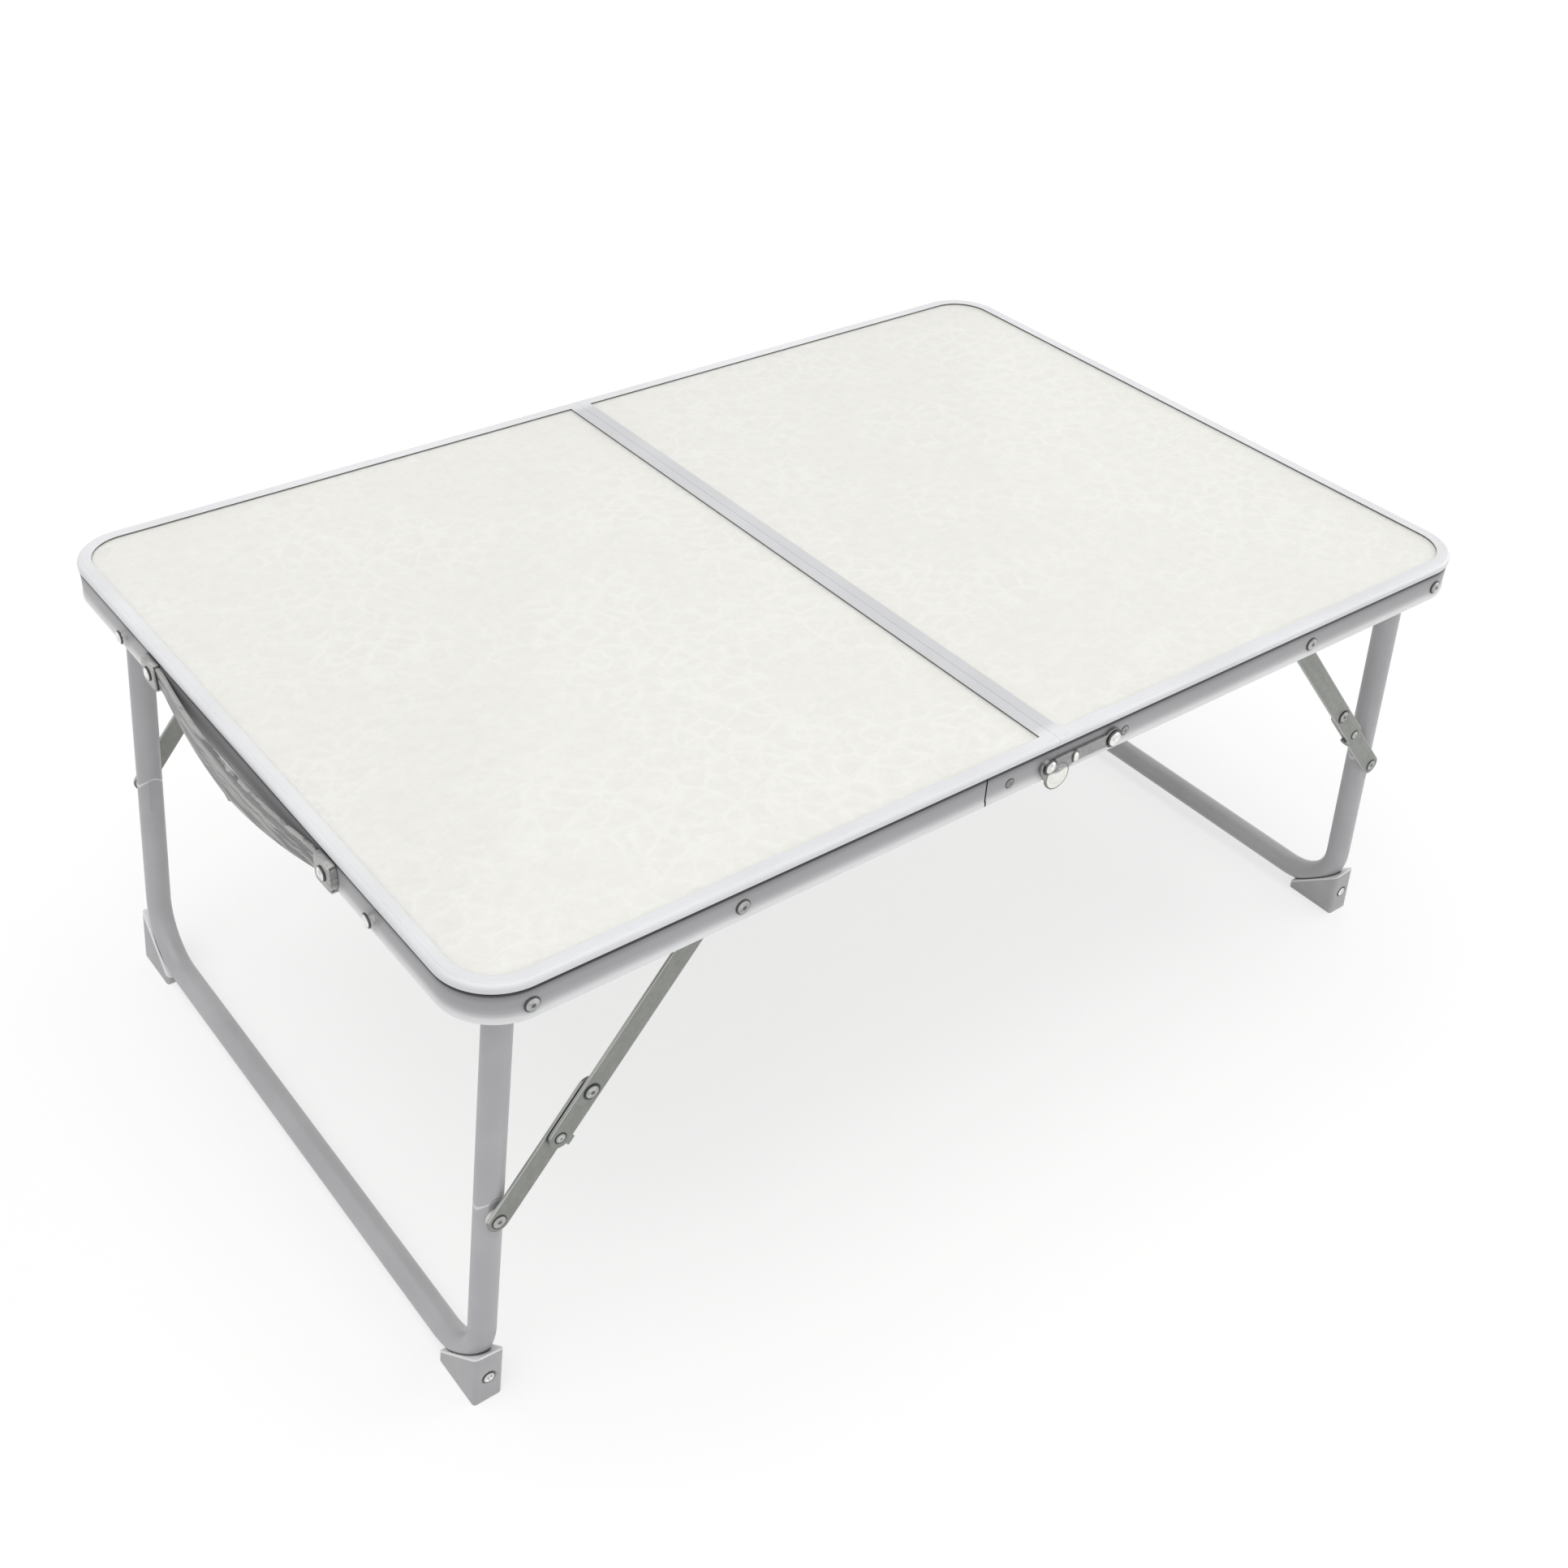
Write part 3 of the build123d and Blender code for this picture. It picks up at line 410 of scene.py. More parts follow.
strip = bent(
    [
        (seam_face, half_width, table_top), (half_length, half_width, table_top),
        (half_length, -half_width, table_top), (seam_face, -half_width, table_top),
    ],
    strip_outline, edge_paint, corner_radius, 18,
)
rail = bent([(seam_face, -rail_end, table_top), (seam_face, rail_end, table_top)], seam_outline, edge_paint)
strip = carved(strip, [rail], "UNION")
joint = box(
    (joint_from_seam - joint_width / 2, half_width - 8.0, table_top - 24.0),
    (joint_from_seam + joint_width / 2, half_width + 2.0, table_top - 3.5),
)
strip = carved(strip, [joint])
fit_halves("edge_strip", strip, edge_paint, "half", "edge_frame", 30)

# Boards. Each half has a thin fibreboard panel slid into the strip's slot, a millimetre below the lip. Its
# upper face is a warm white laminate pressed with a fine leather-like crease; the back is plain pale paper.
board_edge = 2.8
board_thickness = 3.6
board_face = table_top - 1.2


def moved(x, y, z):
    """A shift in millimetres."""
    return Matrix.Translation((x * mm, y * mm, z * mm))


def plate(outline, holes, thickness, edge=0.25, fineness=2):
    """A flat pressed plate with rounded rims, from its face at nought upwards."""
    sheet = bpy.data.curves.new("sheet", "CURVE")
    sheet.dimensions = "2D"
    sheet.fill_mode = "BOTH"
    for line in (outline, *holes):
        run = sheet.splines.new("POLY")
        run.points.add(len(line) - 1)
        for spot, (x, y) in zip(run.points, line):
            spot.co = (x * mm, y * mm, 0, 1)
        run.use_cyclic_u = True
    sheet.extrude = (thickness / 2 - edge) * mm
    sheet.bevel_depth = edge * mm
    sheet.bevel_resolution = fineness
    sheet.offset = -edge * mm
    shape = worked(shown(sheet))
    form = bmesh.new()
    form.from_mesh(shape)
    bmesh.ops.remove_doubles(form, verts=form.verts, dist=0.000001)
    bmesh.ops.recalc_face_normals(form, faces=form.faces)
    shape = from_form(form, 1)
    shape.transform(moved(0, 0, thickness / 2))
    return shape


laminate, bench = new_finish("warm_white_laminate")
place = bench.place()
height = bench.parts(place)["Z"]
drift = bench.add(
    "ShaderNodeVectorMath", {"operation": "MULTIPLY_ADD"},
    {0: bench.noise(place, 60.0, 2.0)["Color"], 1: (0.012, 0.012, 0.012), 2: place},
)
cells = bench.add(
    "ShaderNodeTexVoronoi", {"feature": "DISTANCE_TO_EDGE"},
    {"Vector": drift, "Scale": 80.0},
)
veins = bench.between(cells, 0.0, 0.16, 1.0, 0.0)
patches = bench.noise(place, 14.0, 4.0, 0.6)
present = bench.between(patches, 0.38, 0.58)
wrinkle = bench.noise(bench.stretched(drift, (150, 320, 200), (0, 0, 0.35)), 1.0, 5.0, 0.6, 0.9)
wrinkles = bench.between(abs(wrinkle - 0.5), 0.0, 0.05, 1.0, 0.0)
fine = bench.noise(bench.stretched(place, (420, 760, 500), (0, 0, 0.35)), 1.0, 4.0, 0.6, 0.8)
fine_wrinkles = bench.between(abs(fine - 0.5), 0.0, 0.08, 1.0, 0.0)
face_colour = bench.mix(
    bench.between(bench.noise(place, 150.0, 5.0, 0.65), 0.3, 0.7), (0.82, 0.812, 0.77), (0.85, 0.843, 0.803)
)
face_colour = bench.mix(wrinkles * 0.25 + veins * present * 0.3, face_colour, (0.93, 0.927, 0.895))
fibres = bench.noise(bench.stretched(place, (60, 400, 60)), 1.0, 4.0)
paper = bench.mix(fibres, (0.56, 0.54, 0.49), (0.63, 0.61, 0.57))
creased = wrinkles * 0.5 + fine_wrinkles * 0.15 + veins * present * 0.5 + fine * 0.2
bench.coat({
    "Base Color": bench.mix(height > (board_face - 0.6) * mm, paper, face_colour),
    "Roughness": 0.42 + 0.14 * patches,
    "Normal": bench.relief(creased, 0.00009, 0.6),
})

near, far, outer = seam_face + 2.4, half_length - board_edge, half_width - board_edge
turn_in = corner_radius - board_edge
board = rounded([(near, -outer, 0), (far, -outer, turn_in), (far, outer, turn_in), (near, outer, 0)], 14)
board = plate(board, [], board_thickness, 0.2)
board.transform(moved(0, 0, board_face - board_thickness))
fit_halves("panel", board, laminate, "half", "board")

# Legs. Each end of the table stands on one U of steel tube, bent at the two lower corners, left open at its
# ends and pressed flat in a round spot on both sides where the stay is riveted. Light grey powder coat.
splay = radians(5.5)
leg_pivot = Vector((273.5, 0.0, 244.4))
leg_down = Vector((sin(splay), 0.0, -cos(splay)))
leg_out = Vector((cos(splay), 0.0, sin(splay)))
tube_row = 176.0
tube_radius = 6.5
tube_bend = 32.0
tube_stub = 3.6
pressed_flat = 9.6
flat_rim = 9.4
sole = 4.0
bar_along = (leg_pivot.z - sole - tube_radius) / cos(splay)
stay_pin_from_pivot = 130.0
leg_pin = leg_pivot + stay_pin_from_pivot * leg_down


def on_leg(across, along, outwards=0.0):
    return leg_pivot + Vector((0, across, 0)) + along * leg_down + outwards * leg_out


def ring(radius, steps=48, middle=(0.0, 0.0)):
    return [
        (middle[0] + radius * cos(2 * pi * i / steps), middle[1] + radius * sin(2 * pi * i / steps))
        for i in range(steps)
    ]


def turned(profile, steps=40):
    """A solid turned about its axis, from (radius, height) points that start and end on the axis."""
    form = bmesh.new()
    rings = []
    for radius, height in profile:
        if radius == 0:
            rings.append([form.verts.new((0, 0, height))])
        else:
            rings.append([form.verts.new((x, y, height)) for x, y in ring(radius, steps)])
    for low, high in zip(rings, rings[1:]):
        for i in range(steps):
            j = (i + 1) % steps
            if len(low) == 1:
                form.faces.new((low[0], high[i], high[j]))
            elif len(high) == 1:
                form.faces.new((low[i], high[0], low[j]))
            else:
                form.faces.new((low[i], high[i], high[j], low[j]))
    bmesh.ops.recalc_face_normals(form, faces=form.faces)
    return from_form(form)


def facing_side(row, x, depth, z):
    """Places a shape on a long side: its axis points out of the table, its x along the table."""
    return Matrix(((1, 0, 0, x * mm), (0, 0, -row, -row * depth * mm), (0, 1, 0, z * mm), (0, 0, 0, 1)))


def facing_end(way, depth, y, z):
    """Places a shape on an end: its axis points out of the table, its x along the end."""
    return Matrix(((0, 0, way, way * depth * mm), (1, 0, 0, y * mm), (0, 1, 0, z * mm), (0, 0, 0, 1)))


foot_face = 183.9
foot_inner = foot_face - 32.0
foot_head = bar_along + tube_radius + sole - 31.0
foot_toe = bar_along + tube_radius + sole - 5.0


def below_foot_rim(bench, place):
    """How far a place lies below the slanting rim of its corner foot, the same for all four feet."""
    part = bench.parts(place)
    along = (abs(part["X"]) - leg_pivot.x * mm) * sin(splay) + (leg_pivot.z * mm - part["Z"]) * cos(splay)
    slope = (foot_toe - foot_head) / (foot_face - foot_inner)
    return along - foot_head * mm - (foot_face * mm - abs(part["Y"])) * slope


powder_coat, bench = new_finish("light_grey_powder_coat")
place = bench.place()
peel = bench.noise(place, 900.0, 2.0)
cloud = bench.noise(place, 26.0, 4.0)
rubs = bench.between(bench.noise(place, 120.0, 5.0, 0.6), 0.55, 0.75)
# Painted shade: a dark line on the tube just above each foot's rim, where it enters the seat
painted_gap_shade = bench.within(abs(below_foot_rim(bench, place) + 0.7 * mm), 0.3, 0.9)
part = bench.parts(place)
from_pin = ((abs(part["X"]) - leg_pin.x * mm) ** 2.0 * 1.8 + (part["Z"] - leg_pin.z * mm) ** 2.0) ** 0.5
# Painted highlight: a light arc on the upper half of the rim round each pressed-flat spot
painted_crimp_highlight = bench.within(abs(from_pin - flat_rim * mm), 0.2, 0.6) * (part["Z"] > leg_pin.z * mm)
coating = bench.mix(bench.between(cloud, 0.3, 0.7), (0.43, 0.43, 0.445), (0.48, 0.48, 0.495))
coating = bench.mix(painted_crimp_highlight * 0.7, coating, (0.8, 0.8, 0.82))
bench.coat({
    "Base Color": bench.mix(painted_gap_shade * 0.8, coating, (0.06, 0.06, 0.06)),
    "Roughness": 0.3 + 0.12 * cloud + 0.06 * rubs,
    "Normal": bench.relief(peel, 0.00004, 0.5),
})


def leg_sweep(radius, finish, extra=0.0):
    path = [
        on_leg(-tube_row, -tube_stub - extra), on_leg(-tube_row, bar_along),
        on_leg(tube_row, bar_along), on_leg(tube_row, -tube_stub - extra),
    ]
    return bent(path, ring(radius, 40), finish, tube_bend, 20, 2.0)


leg = leg_sweep(tube_radius, powder_coat)
bore = leg_sweep(tube_radius - 1.0, powder_coat, 2.0)
stamp = turned([(0, 0), (pressed_flat, 0), (11.2, 0.55), (12.4, 1.6), (12.4, 5.0), (0, 5.0)], 64)
presses = [
    placed(stamp, facing_side(row, leg_pin.x, row_depth, leg_pin.z) @ Matrix.Diagonal((1, 1, way, 1)))
    for row in (1, -1) for way, row_depth in ((1, tube_row + 5.6), (-1, tube_row - 5.75))
]
leg = carved(leg, [*presses, bore])
fit_halves("leg", leg, powder_coat, "leg", "leg_tube", 30)

# Corner feet. A moulded plastic wedge fills the square corner outside each bend of the tube, which lies in a
# round seat across it. One screw through the outer cheek holds it.
foot_half = 7.4
four_corners = [(half, turn, row, bank) for half, turn, banks in halves for row, bank in banks.items()]

moulded_grey, bench = new_finish("light_grey_moulding")
place = bench.place()
spark = bench.noise(place, 1500.0, 3.0, 0.6)
cloud = bench.noise(place, 40.0, 4.0)
# Painted highlight: a light line just under the slanting rim of each foot
painted_rim = bench.within(below_foot_rim(bench, place), 0.8, 1.3)
moulding = bench.mix(bench.between(cloud, 0.3, 0.7), (0.42, 0.42, 0.43), (0.47, 0.47, 0.48))
bench.coat({
    "Base Color": bench.mix(painted_rim, moulding, (0.85, 0.85, 0.86)),
    "Roughness": 0.38 + 0.14 * cloud,
    "Normal": bench.relief(spark, 0.00005, 0.6),
})


def foot_block(row):
    form = bmesh.new()
    corner = {}
    for across in (foot_face, foot_inner):
        for outwards in (-foot_half, foot_half):
            head = foot_head if across == foot_face else foot_toe
            floor = (leg_pivot.z + outwards * sin(splay)) / cos(splay)
            corner[across, outwards, 1] = form.verts.new(on_leg(-row * across, head, outwards))
            corner[across, outwards, 0] = form.verts.new(on_leg(-row * across, floor, outwards))
    a, b, low, high = foot_face, foot_inner, -foot_half, foot_half
    for face in (
        ((a, low, 0), (a, low, 1), (a, high, 1), (a, high, 0)),
        ((b, low, 0), (b, high, 0), (b, high, 1), (b, low, 1)),
        ((a, low, 0), (b, low, 0), (b, low, 1), (a, low, 1)),
        ((a, high, 0), (a, high, 1), (b, high, 1), (b, high, 0)),
        ((a, low, 0), (a, high, 0), (b, high, 0), (b, low, 0)),
        ((a, low, 1), (b, low, 1), (b, high, 1), (a, high, 1)),
    ):
        form.faces.new([corner[key] for key in face])
    bmesh.ops.recalc_face_normals(form, faces=form.faces)
    weight = form.edges.layers.float.new("bevel_weight_edge")
    for edge in form.edges:
        upright = abs((edge.verts[1].co - edge.verts[0].co).normalized().dot(leg_down)) > 0.95
        edge[weight] = 1.0 if upright else 0.3
    shape = from_form(form)
    thing = shown(shape)
    soften = thing.modifiers.new("soften", "BEVEL")
    soften.width, soften.segments, soften.limit_method = 2.4 * mm, 5, "WEIGHT"
    return worked(thing)


seat = leg_sweep(tube_radius + 0.3, moulded_grey, 2.0)
screw_spot = {row: on_leg(-row * foot_face, bar_along + tube_radius + sole - 15.0) for row in (1, -1)}
dimple = turned([(0, -0.7), (3.4, -0.7), (4.3, 0.5), (4.3, 3.0), (0, 3.0)])
for half, turn, row, bank in four_corners:
    spot = screw_spot[row]
    screw_seat = placed(dimple, facing_side(row, spot.x, foot_face, spot.z))
    foot = carved(foot_block(row), [seat.copy(), screw_seat])
    fit(
        f"{half}_{bank}_corner_foot", placed(foot, turn), moulded_grey, f"{half}_leg",
        [f"{half}_{bank}_foot"], 30,
    )

# Foot screws. Pan heads with a cross recess, turned and zinc-plated, one driven into each foot at its own
# angle.


def new_fastener_finish(name, crown, painted_centre, painted_rim, roughness):
    """Plated steel with a painted shadow round the outer brim of each head and a painted colour at its
    centre.
    """
    finish, bench = new_finish(name)
    place = bench.place()
    swirl = bench.noise(place, 700.0, 4.0, 0.6)
    tarnish = bench.noise(place, 260.0, 5.0, 0.6)
    reach = bench.add("ShaderNodeAttribute", {"attribute_name": "reach"})["Fac"]
    metal = bench.mix(bench.between(tarnish, 0.35, 0.7), crown, tuple(0.62 * c for c in crown))
    # Painted centre: dark on the dull and flat heads as painted shade, near the crown's colour on the bright
    # ones
    metal = bench.mix(bench.between(reach, 0.2, 0.36), painted_centre, metal)
    # Painted shadow: the outer brim of each head takes the dark brim colour
    bench.coat({
        "Base Color": bench.mix(bench.between(reach, 0.8, 0.87), metal, painted_rim),
        "Roughness": roughness + 0.22 * tarnish + 0.08 * swirl,
        "Normal": bench.relief(swirl, 0.00003, 0.5),
        "Metallic": 0.9,
    })
    return finish


bright_steel, dull_steel, flat_steel = (new_fastener_finish(*look) for look in (
    ("bright_plated_steel", (0.9, 0.9, 0.88), (0.92, 0.92, 0.9), (0.1, 0.1, 0.1), 0.16),
    ("dull_plated_steel", (0.5, 0.51, 0.5), (0.14, 0.14, 0.14), (0.08, 0.08, 0.08), 0.22),
    ("flat_plated_steel", (0.34, 0.34, 0.34), (0.2, 0.2, 0.2), (0.1, 0.1, 0.1), 0.3),
))

fastened, bench, given = new_tree(
    "fastened", {"Fastener": "Object", "Loose Turn": "Float", "Seed": "Int", "Finish": "Material"}
)
facing = bench.add("GeometryNodeInputNamedAttribute", {"data_type": "FLOAT_VECTOR"}, {"Name": "facing"})
upright = bench.add("FunctionNodeAlignRotationToVector", {"axis": "Z"}, {"Vector": facing})
spin = bench.add(
    "FunctionNodeRandomValue", {"data_type": "FLOAT"},
    {"Min": 0.0, "Max": given["Loose Turn"], "Seed": given["Seed"]},
)
own_turn = bench.add("FunctionNodeAxisAngleToRotation", None, {"Axis": (0, 0, 1), "Angle": spin})
standing = bench.add(
    "FunctionNodeRotateRotation", {"rotation_space": "LOCAL"}, {"Rotation": upright, "Rotate By": own_turn}
)
set_in = bench.add(
    "GeometryNodeInstanceOnPoints", None,
    {
        "Points": given["Geometry"],
        "Instance": bench.add("GeometryNodeObjectInfo", None, {"Object": given["Fastener"]})["Geometry"],
        "Rotation": standing,
    },
)
bench.give_out(set_in, given["Finish"])


def set_fasteners(pattern, spots, finish, loose_turn=0.0, seed=1):
    """The same fastener set at every spot, given as (place in millimetres, way it faces)."""
    marks = bpy.data.meshes.new("marks")
    marks.from_pydata([tuple(c * mm for c in place) for place, way in spots], [], [])
    ways = marks.attributes.new("facing", "FLOAT_VECTOR", "POINT")
    for index, (place, way) in enumerate(spots):
        ways.data[index].vector = way
    sample = shown(pattern.copy())
    radii = [hypot(vertex.co.x, vertex.co.y) for vertex in sample.data.vertices]
    reach = sample.data.attributes.new("reach", "FLOAT", "POINT")
    reach.data.foreach_set("value", [radius / max(radii) for radius in radii])
    inputs = {"Fastener": sample, "Loose Turn": loose_turn, "Seed": seed, "Finish": finish}
    return run_tree(shown(marks), fastened, inputs, sample)


def domed(radius, rise, brim, steps=6):
    """The upper line of a domed head down to its brim, from the axis outwards."""
    dome = ((rise - brim) ** 2 + radius**2) / (2 * (rise - brim))
    reach = asin(radius / dome)
    return [
        (dome * sin(reach * i / steps), rise - dome + dome * cos(reach * i / steps)) for i in range(steps + 1)
    ]


def dimpled(line, radius=1.2, depth=0.5):
    """A head's upper line with a small round dimple punched in its middle."""
    top = line[0][1]
    return [(0, top - depth), (radius * 0.6, top - depth * 0.85), (radius, top - depth * 0.3)] + [
        spot for spot in line if spot[0] > radius * 1.1
    ]


screw = turned([*domed(3.1, 1.3, 0.35), (3.1, 0.12), (2.95, 0), (1.5, 0), (1.5, -9.5), (0, -11.0)], 36)
slots = []
for way in (0, 1):
    form = bmesh.new()
    bmesh.ops.create_cube(form, size=1)
    for vertex in form.verts:
        high = vertex.co.z > 0
        width = 1.8 if high else 0.9
        vertex.co = (vertex.co.x * 2 * width, vertex.co.y * (0.75 if high else 0.5), 1.6 if high else 0.1)
    bmesh.ops.rotate(form, verts=form.verts, cent=(0, 0, 0), matrix=Matrix.Rotation(way * pi / 2, 3, "Z"))
    slots.append(from_form(form))
screw = carved(screw, slots)
foot_screws = set_fasteners(
    screw, [(screw_spot[row] + Vector((0, row * 0.5, 0)), (0, -row, 0)) for row in (1, -1)],
    bright_steel, 2 * pi, 4,
)
fit_halves("corner_foot_screws", foot_screws, bright_steel, "leg", "foot_screws", 40)

# Stays. Two flat bars of zinc-plated steel on each side of each leg, joined by a knee rivet. The upper bar
# runs on past the knee as a tail; an ear on the tail is bent over the lower bar's edge and stops the knee
# when it is straight, and a small nub is pressed up at its end.
rail_pin = Vector((175.0, 0.0, 244.4))
stay_run = Vector((leg_pin.x - rail_pin.x, leg_pin.z - rail_pin.z))
stay_turn = atan2(stay_run.y, stay_run.x)
upper_length = 100.98
stay_width = 11.0
tail_length = 24.0
stay_thickness = 1.5
upper_depth = 186.2
lower_depth = 183.75
knee_pin = rail_pin + Vector((cos(stay_turn), 0, sin(stay_turn))) * upper_length
lower_length = hypot(leg_pin.x - knee_pin.x, leg_pin.z - knee_pin.z)
on_edge = Matrix.Rotation(pi / 2, 4, "X")

stay_zinc, bench = new_finish("dull_zinc_bar")
place = bench.place()
part = bench.parts(place)
reach = abs(part["X"]) * cos(stay_turn) + part["Z"] * sin(stay_turn)
across = part["Z"] * cos(stay_turn) - abs(part["X"]) * sin(stay_turn)
aside = abs(across - (rail_pin.z * cos(stay_turn) - rail_pin.x * sin(stay_turn)) * mm)
gone = reach - (rail_pin.x * cos(stay_turn) + rail_pin.z * sin(stay_turn)) * mm
rolled = bench.noise(
    bench.add("ShaderNodeCombineXYZ", None, {"X": reach * 60, "Y": part["Y"] * 900, "Z": across * 1500}),
    1.0, 4.0, 0.6,
)
spangle = bench.noise(place, 300.0, 5.0, 0.6)
from_nub = ((gone - (upper_length + tail_length) * mm) ** 2.0 + aside ** 2.0) ** 0.5
from_knee = ((gone - upper_length * mm) ** 2.0 + aside ** 2.0) ** 0.5
# Painted shade: dark rings round the nub and round the knee rivet's head
painted_ring_shade = bench.within(abs(from_nub - 2.7 * mm), 0.15, 0.5)
painted_ring_shade = painted_ring_shade + bench.within(abs(from_knee - 3.9 * mm), 0.2, 0.6) * 0.8
# Painted highlight: a light ring on the nub's dome
painted_highlight = bench.within(from_nub, 1.6, 2.2) - bench.within(from_nub, 0.5, 0.9)
# Painted highlight: a light line along each long edge of the bar, just inside its rounding
painted_edge_highlight = bench.between(aside, 4.9 * mm, 5.25 * mm) * (aside < 5.55 * mm)
mottle = bench.between(rolled * 0.5 + spangle * 0.5, 0.32, 0.68)
steel = bench.mix(mottle, (0.24, 0.25, 0.232), (0.3, 0.31, 0.29))
steel = bench.mix(painted_edge_highlight * 0.8, steel, (0.5, 0.51, 0.49))
steel = bench.mix(painted_highlight.larger(0.0) * 0.8, steel, (0.6, 0.61, 0.6))
bench.coat({
    "Base Color": bench.mix(painted_ring_shade.maths("MINIMUM", painted_ring_shade, 1.0), steel, (0.045, 0.045, 0.04)),
    "Roughness": 0.32 + 0.2 * rolled,
    "Normal": bench.relief(rolled, 0.00003, 0.4),
    "Metallic": 0.7,
})


def along_stay(row, pin, depth):
    """Places a shape drawn along the stay, from a pin, with its thickness out of the table."""
    return facing_side(row, pin.x, depth, pin.z) @ Matrix.Rotation(stay_turn, 4, "Z")


def shank_hole(middle=(0.0, 0.0)):
    return ring(2.08, 32, middle)


def pinned_bar(length, pins_apart):
    """A bar with round ends, and a hole for a rivet at its start and one further on."""
    half = stay_width / 2
    line = [(half * cos(a), half * sin(a)) for a in (pi / 2 + pi * i / 16 for i in range(17))]
    line += [(length + half * cos(a), half * sin(a)) for a in (-pi / 2 + pi * i / 16 for i in range(17))]
    return plate(wound(line), [shank_hole(), shank_hole((pins_apart, 0))], stay_thickness)


def oblong(half, low, high, low_radius, high_radius):
    """The outline of a flat tab, the same on both sides of its middle."""
    return rounded([
        (-half, low, low_radius), (half, low, low_radius),
        (half, high, high_radius), (-half, high, high_radius),
    ])


nub_at = upper_length + tail_length
upper_bar = pinned_bar(nub_at, upper_length)
nub = turned([*domed(2.6, 0.75, 0.1), (2.2, -0.3), (0, -0.3)])
nub.transform(moved(nub_at, 0, stay_thickness))
ear = plate(oblong(2.2, -2.4, 1.5, 0.7, 0), [], stay_thickness, 0.2)
ear.transform(moved(nub_at, -(stay_width / 2 + 0.1), 0) @ on_edge)
foot_of_ear = plate(oblong(2.2, -stay_width / 2 - 1.6, -4.4, 0.4, 0), [], stay_thickness - 0.3, 0.1)
foot_of_ear.transform(moved(nub_at, 0, 0.15))
upper_bar = joined([upper_bar, nub, ear, foot_of_ear])
lower_bar = pinned_bar(lower_length, lower_length)
for half, turn, row, bank in four_corners:
    for name, bar, pin, depth in (
        ("upper", upper_bar, rail_pin, upper_depth), ("lower", lower_bar, knee_pin, lower_depth),
    ):
        fit(
            f"{half}_{bank}_{name}_bar", placed(bar, turn @ along_stay(row, pin, depth)), stay_zinc,
            f"{half}_{bank}_{name}_stay", [f"{half}_{bank}_{name}_link"],
        )

# Stay rivets. A knee has a low domed head, a shoulder between the two bars and a tail hammered against the
# lower bar. The one at a stay's lower end is pressed through the bar into the bush in the tube.


def beside(pin, row, depth):
    """A spot over a pin on a long side, and the way it faces."""
    return (pin.x, -row * depth, pin.z), (0, -row, 0)


knee = turned([
    *dimpled(domed(3.6, 1.2, 0.3)), (3.6, 0.1), (3.4, 0), (2.0, 0), (2.0, -1.55), (3.2, -1.55), (3.2, -2.35),
    (2.0, -2.35), (2.0, -4.05), (3.1, -4.05), (3.2, -4.35), (2.6, -4.9), (0, -4.95),
])
low_end = turned([
    *dimpled(domed(3.6, 0.7, 0.2), 1.2, 0.3), (3.6, 0.1), (3.4, 0), (2.0, 0), (2.0, -1.5), (0, -1.5),
])
for name, pattern, pin, depth, body, node in (
    ("knee_pin", knee, knee_pin, upper_depth, "upper_stay", "knee_rivet"),
    ("stay_pin", low_end, leg_pin, lower_depth, "lower_stay", "end_rivet"),
):
    for half, turn, row, bank in four_corners:
        rivet = set_fasteners(pattern, [beside(pin, row, depth + stay_thickness)], dull_steel)
        fit(
            f"{half}_{bank}_{name}", placed(rivet, turn), dull_steel, f"{half}_{bank}_{body}",
            [f"{half}_{bank}_{node}"], 40,
        )

# Pivot rivets in the long skirts. A domed head outside, a shank through the bush and the leg or stay, and a
# tail hammered over inside.
skirt_face = 199.5


def domed_rivet(grip, radius=3.6, rise=1.6, dimple=0.0):
    head = domed(radius, rise, 0.4)
    return turned([
        *(dimpled(head, dimple) if dimple else head), (radius, 0.15), (radius - 0.2, 0), (2.0, 0),
        (2.0, -grip), (3.1, -grip), (3.2, -grip - 0.3), (2.5, -grip - 0.95), (0, -grip - 1.0),
    ])


for half, turn, banks in halves:
    for name, pin, grip in (("leg", leg_pivot, 30.2), ("stay_rail", rail_pin, 13.5)):
        spots = [beside(pin, row, skirt_face) for row in (1, -1)]
        rivets = set_fasteners(domed_rivet(grip, dimple=1.2), spots, dull_steel)
        fit(
            f"{half}_{name}_pins", placed(rivets, turn), dull_steel, f"{half}_half",
            [f"{half}_{name}_rivets"], 40,
        )

# Flush rivets. Small flat heads hold the joiner, the hook's backing plate and the hinge leaves. Each is
# pressed through the strip and hammered over behind it.
hinge_from_middle = 110.0
leaf_thickness = 1.2
hinge_rivets = [
    ((9.5, bank * hinge_from_middle + way * 16.0, table_top - skirt_depth - leaf_thickness), (0, 0, -1))
    for bank in (-1, 1) for way in (-1, 1)
]
flush = turned([
    *domed(2.6, 0.6, 0.15), (2.5, 0), (1.4, 0), (1.4, -2.4), (2.4, -2.4), (2.6, -2.6), (1.8, -2.95),
    (0, -3.0),
], 32)
skirt_rivets = [((28.7, skirt_face, leg_pivot.z), (0, 1, 0)), ((43.5, -skirt_face, leg_pivot.z), (0, -1, 0))]
flush_rivets = set_fasteners(flush, skirt_rivets + hinge_rivets, flat_steel)
fit_halves("small_rivets", flush_rivets, flat_steel, "half", "flush_rivets", 40)

# Latch studs. Mushroom heads turned from plated steel, on necks riveted through the strip: one beside the
# seam on each half, and two on the left end for the hooks of the shut table.
end_latch_from_middle = 123.0
hook_height = table_top - 12.0


def pair_on_end(depth, from_middle):
    """Two spots at hook height on an end of the table, and the way they face."""
    outwards = (1 if depth > 0 else -1, 0, 0)
    return [((depth, way * from_middle, hook_height), outwards) for way in (-1, 1)]


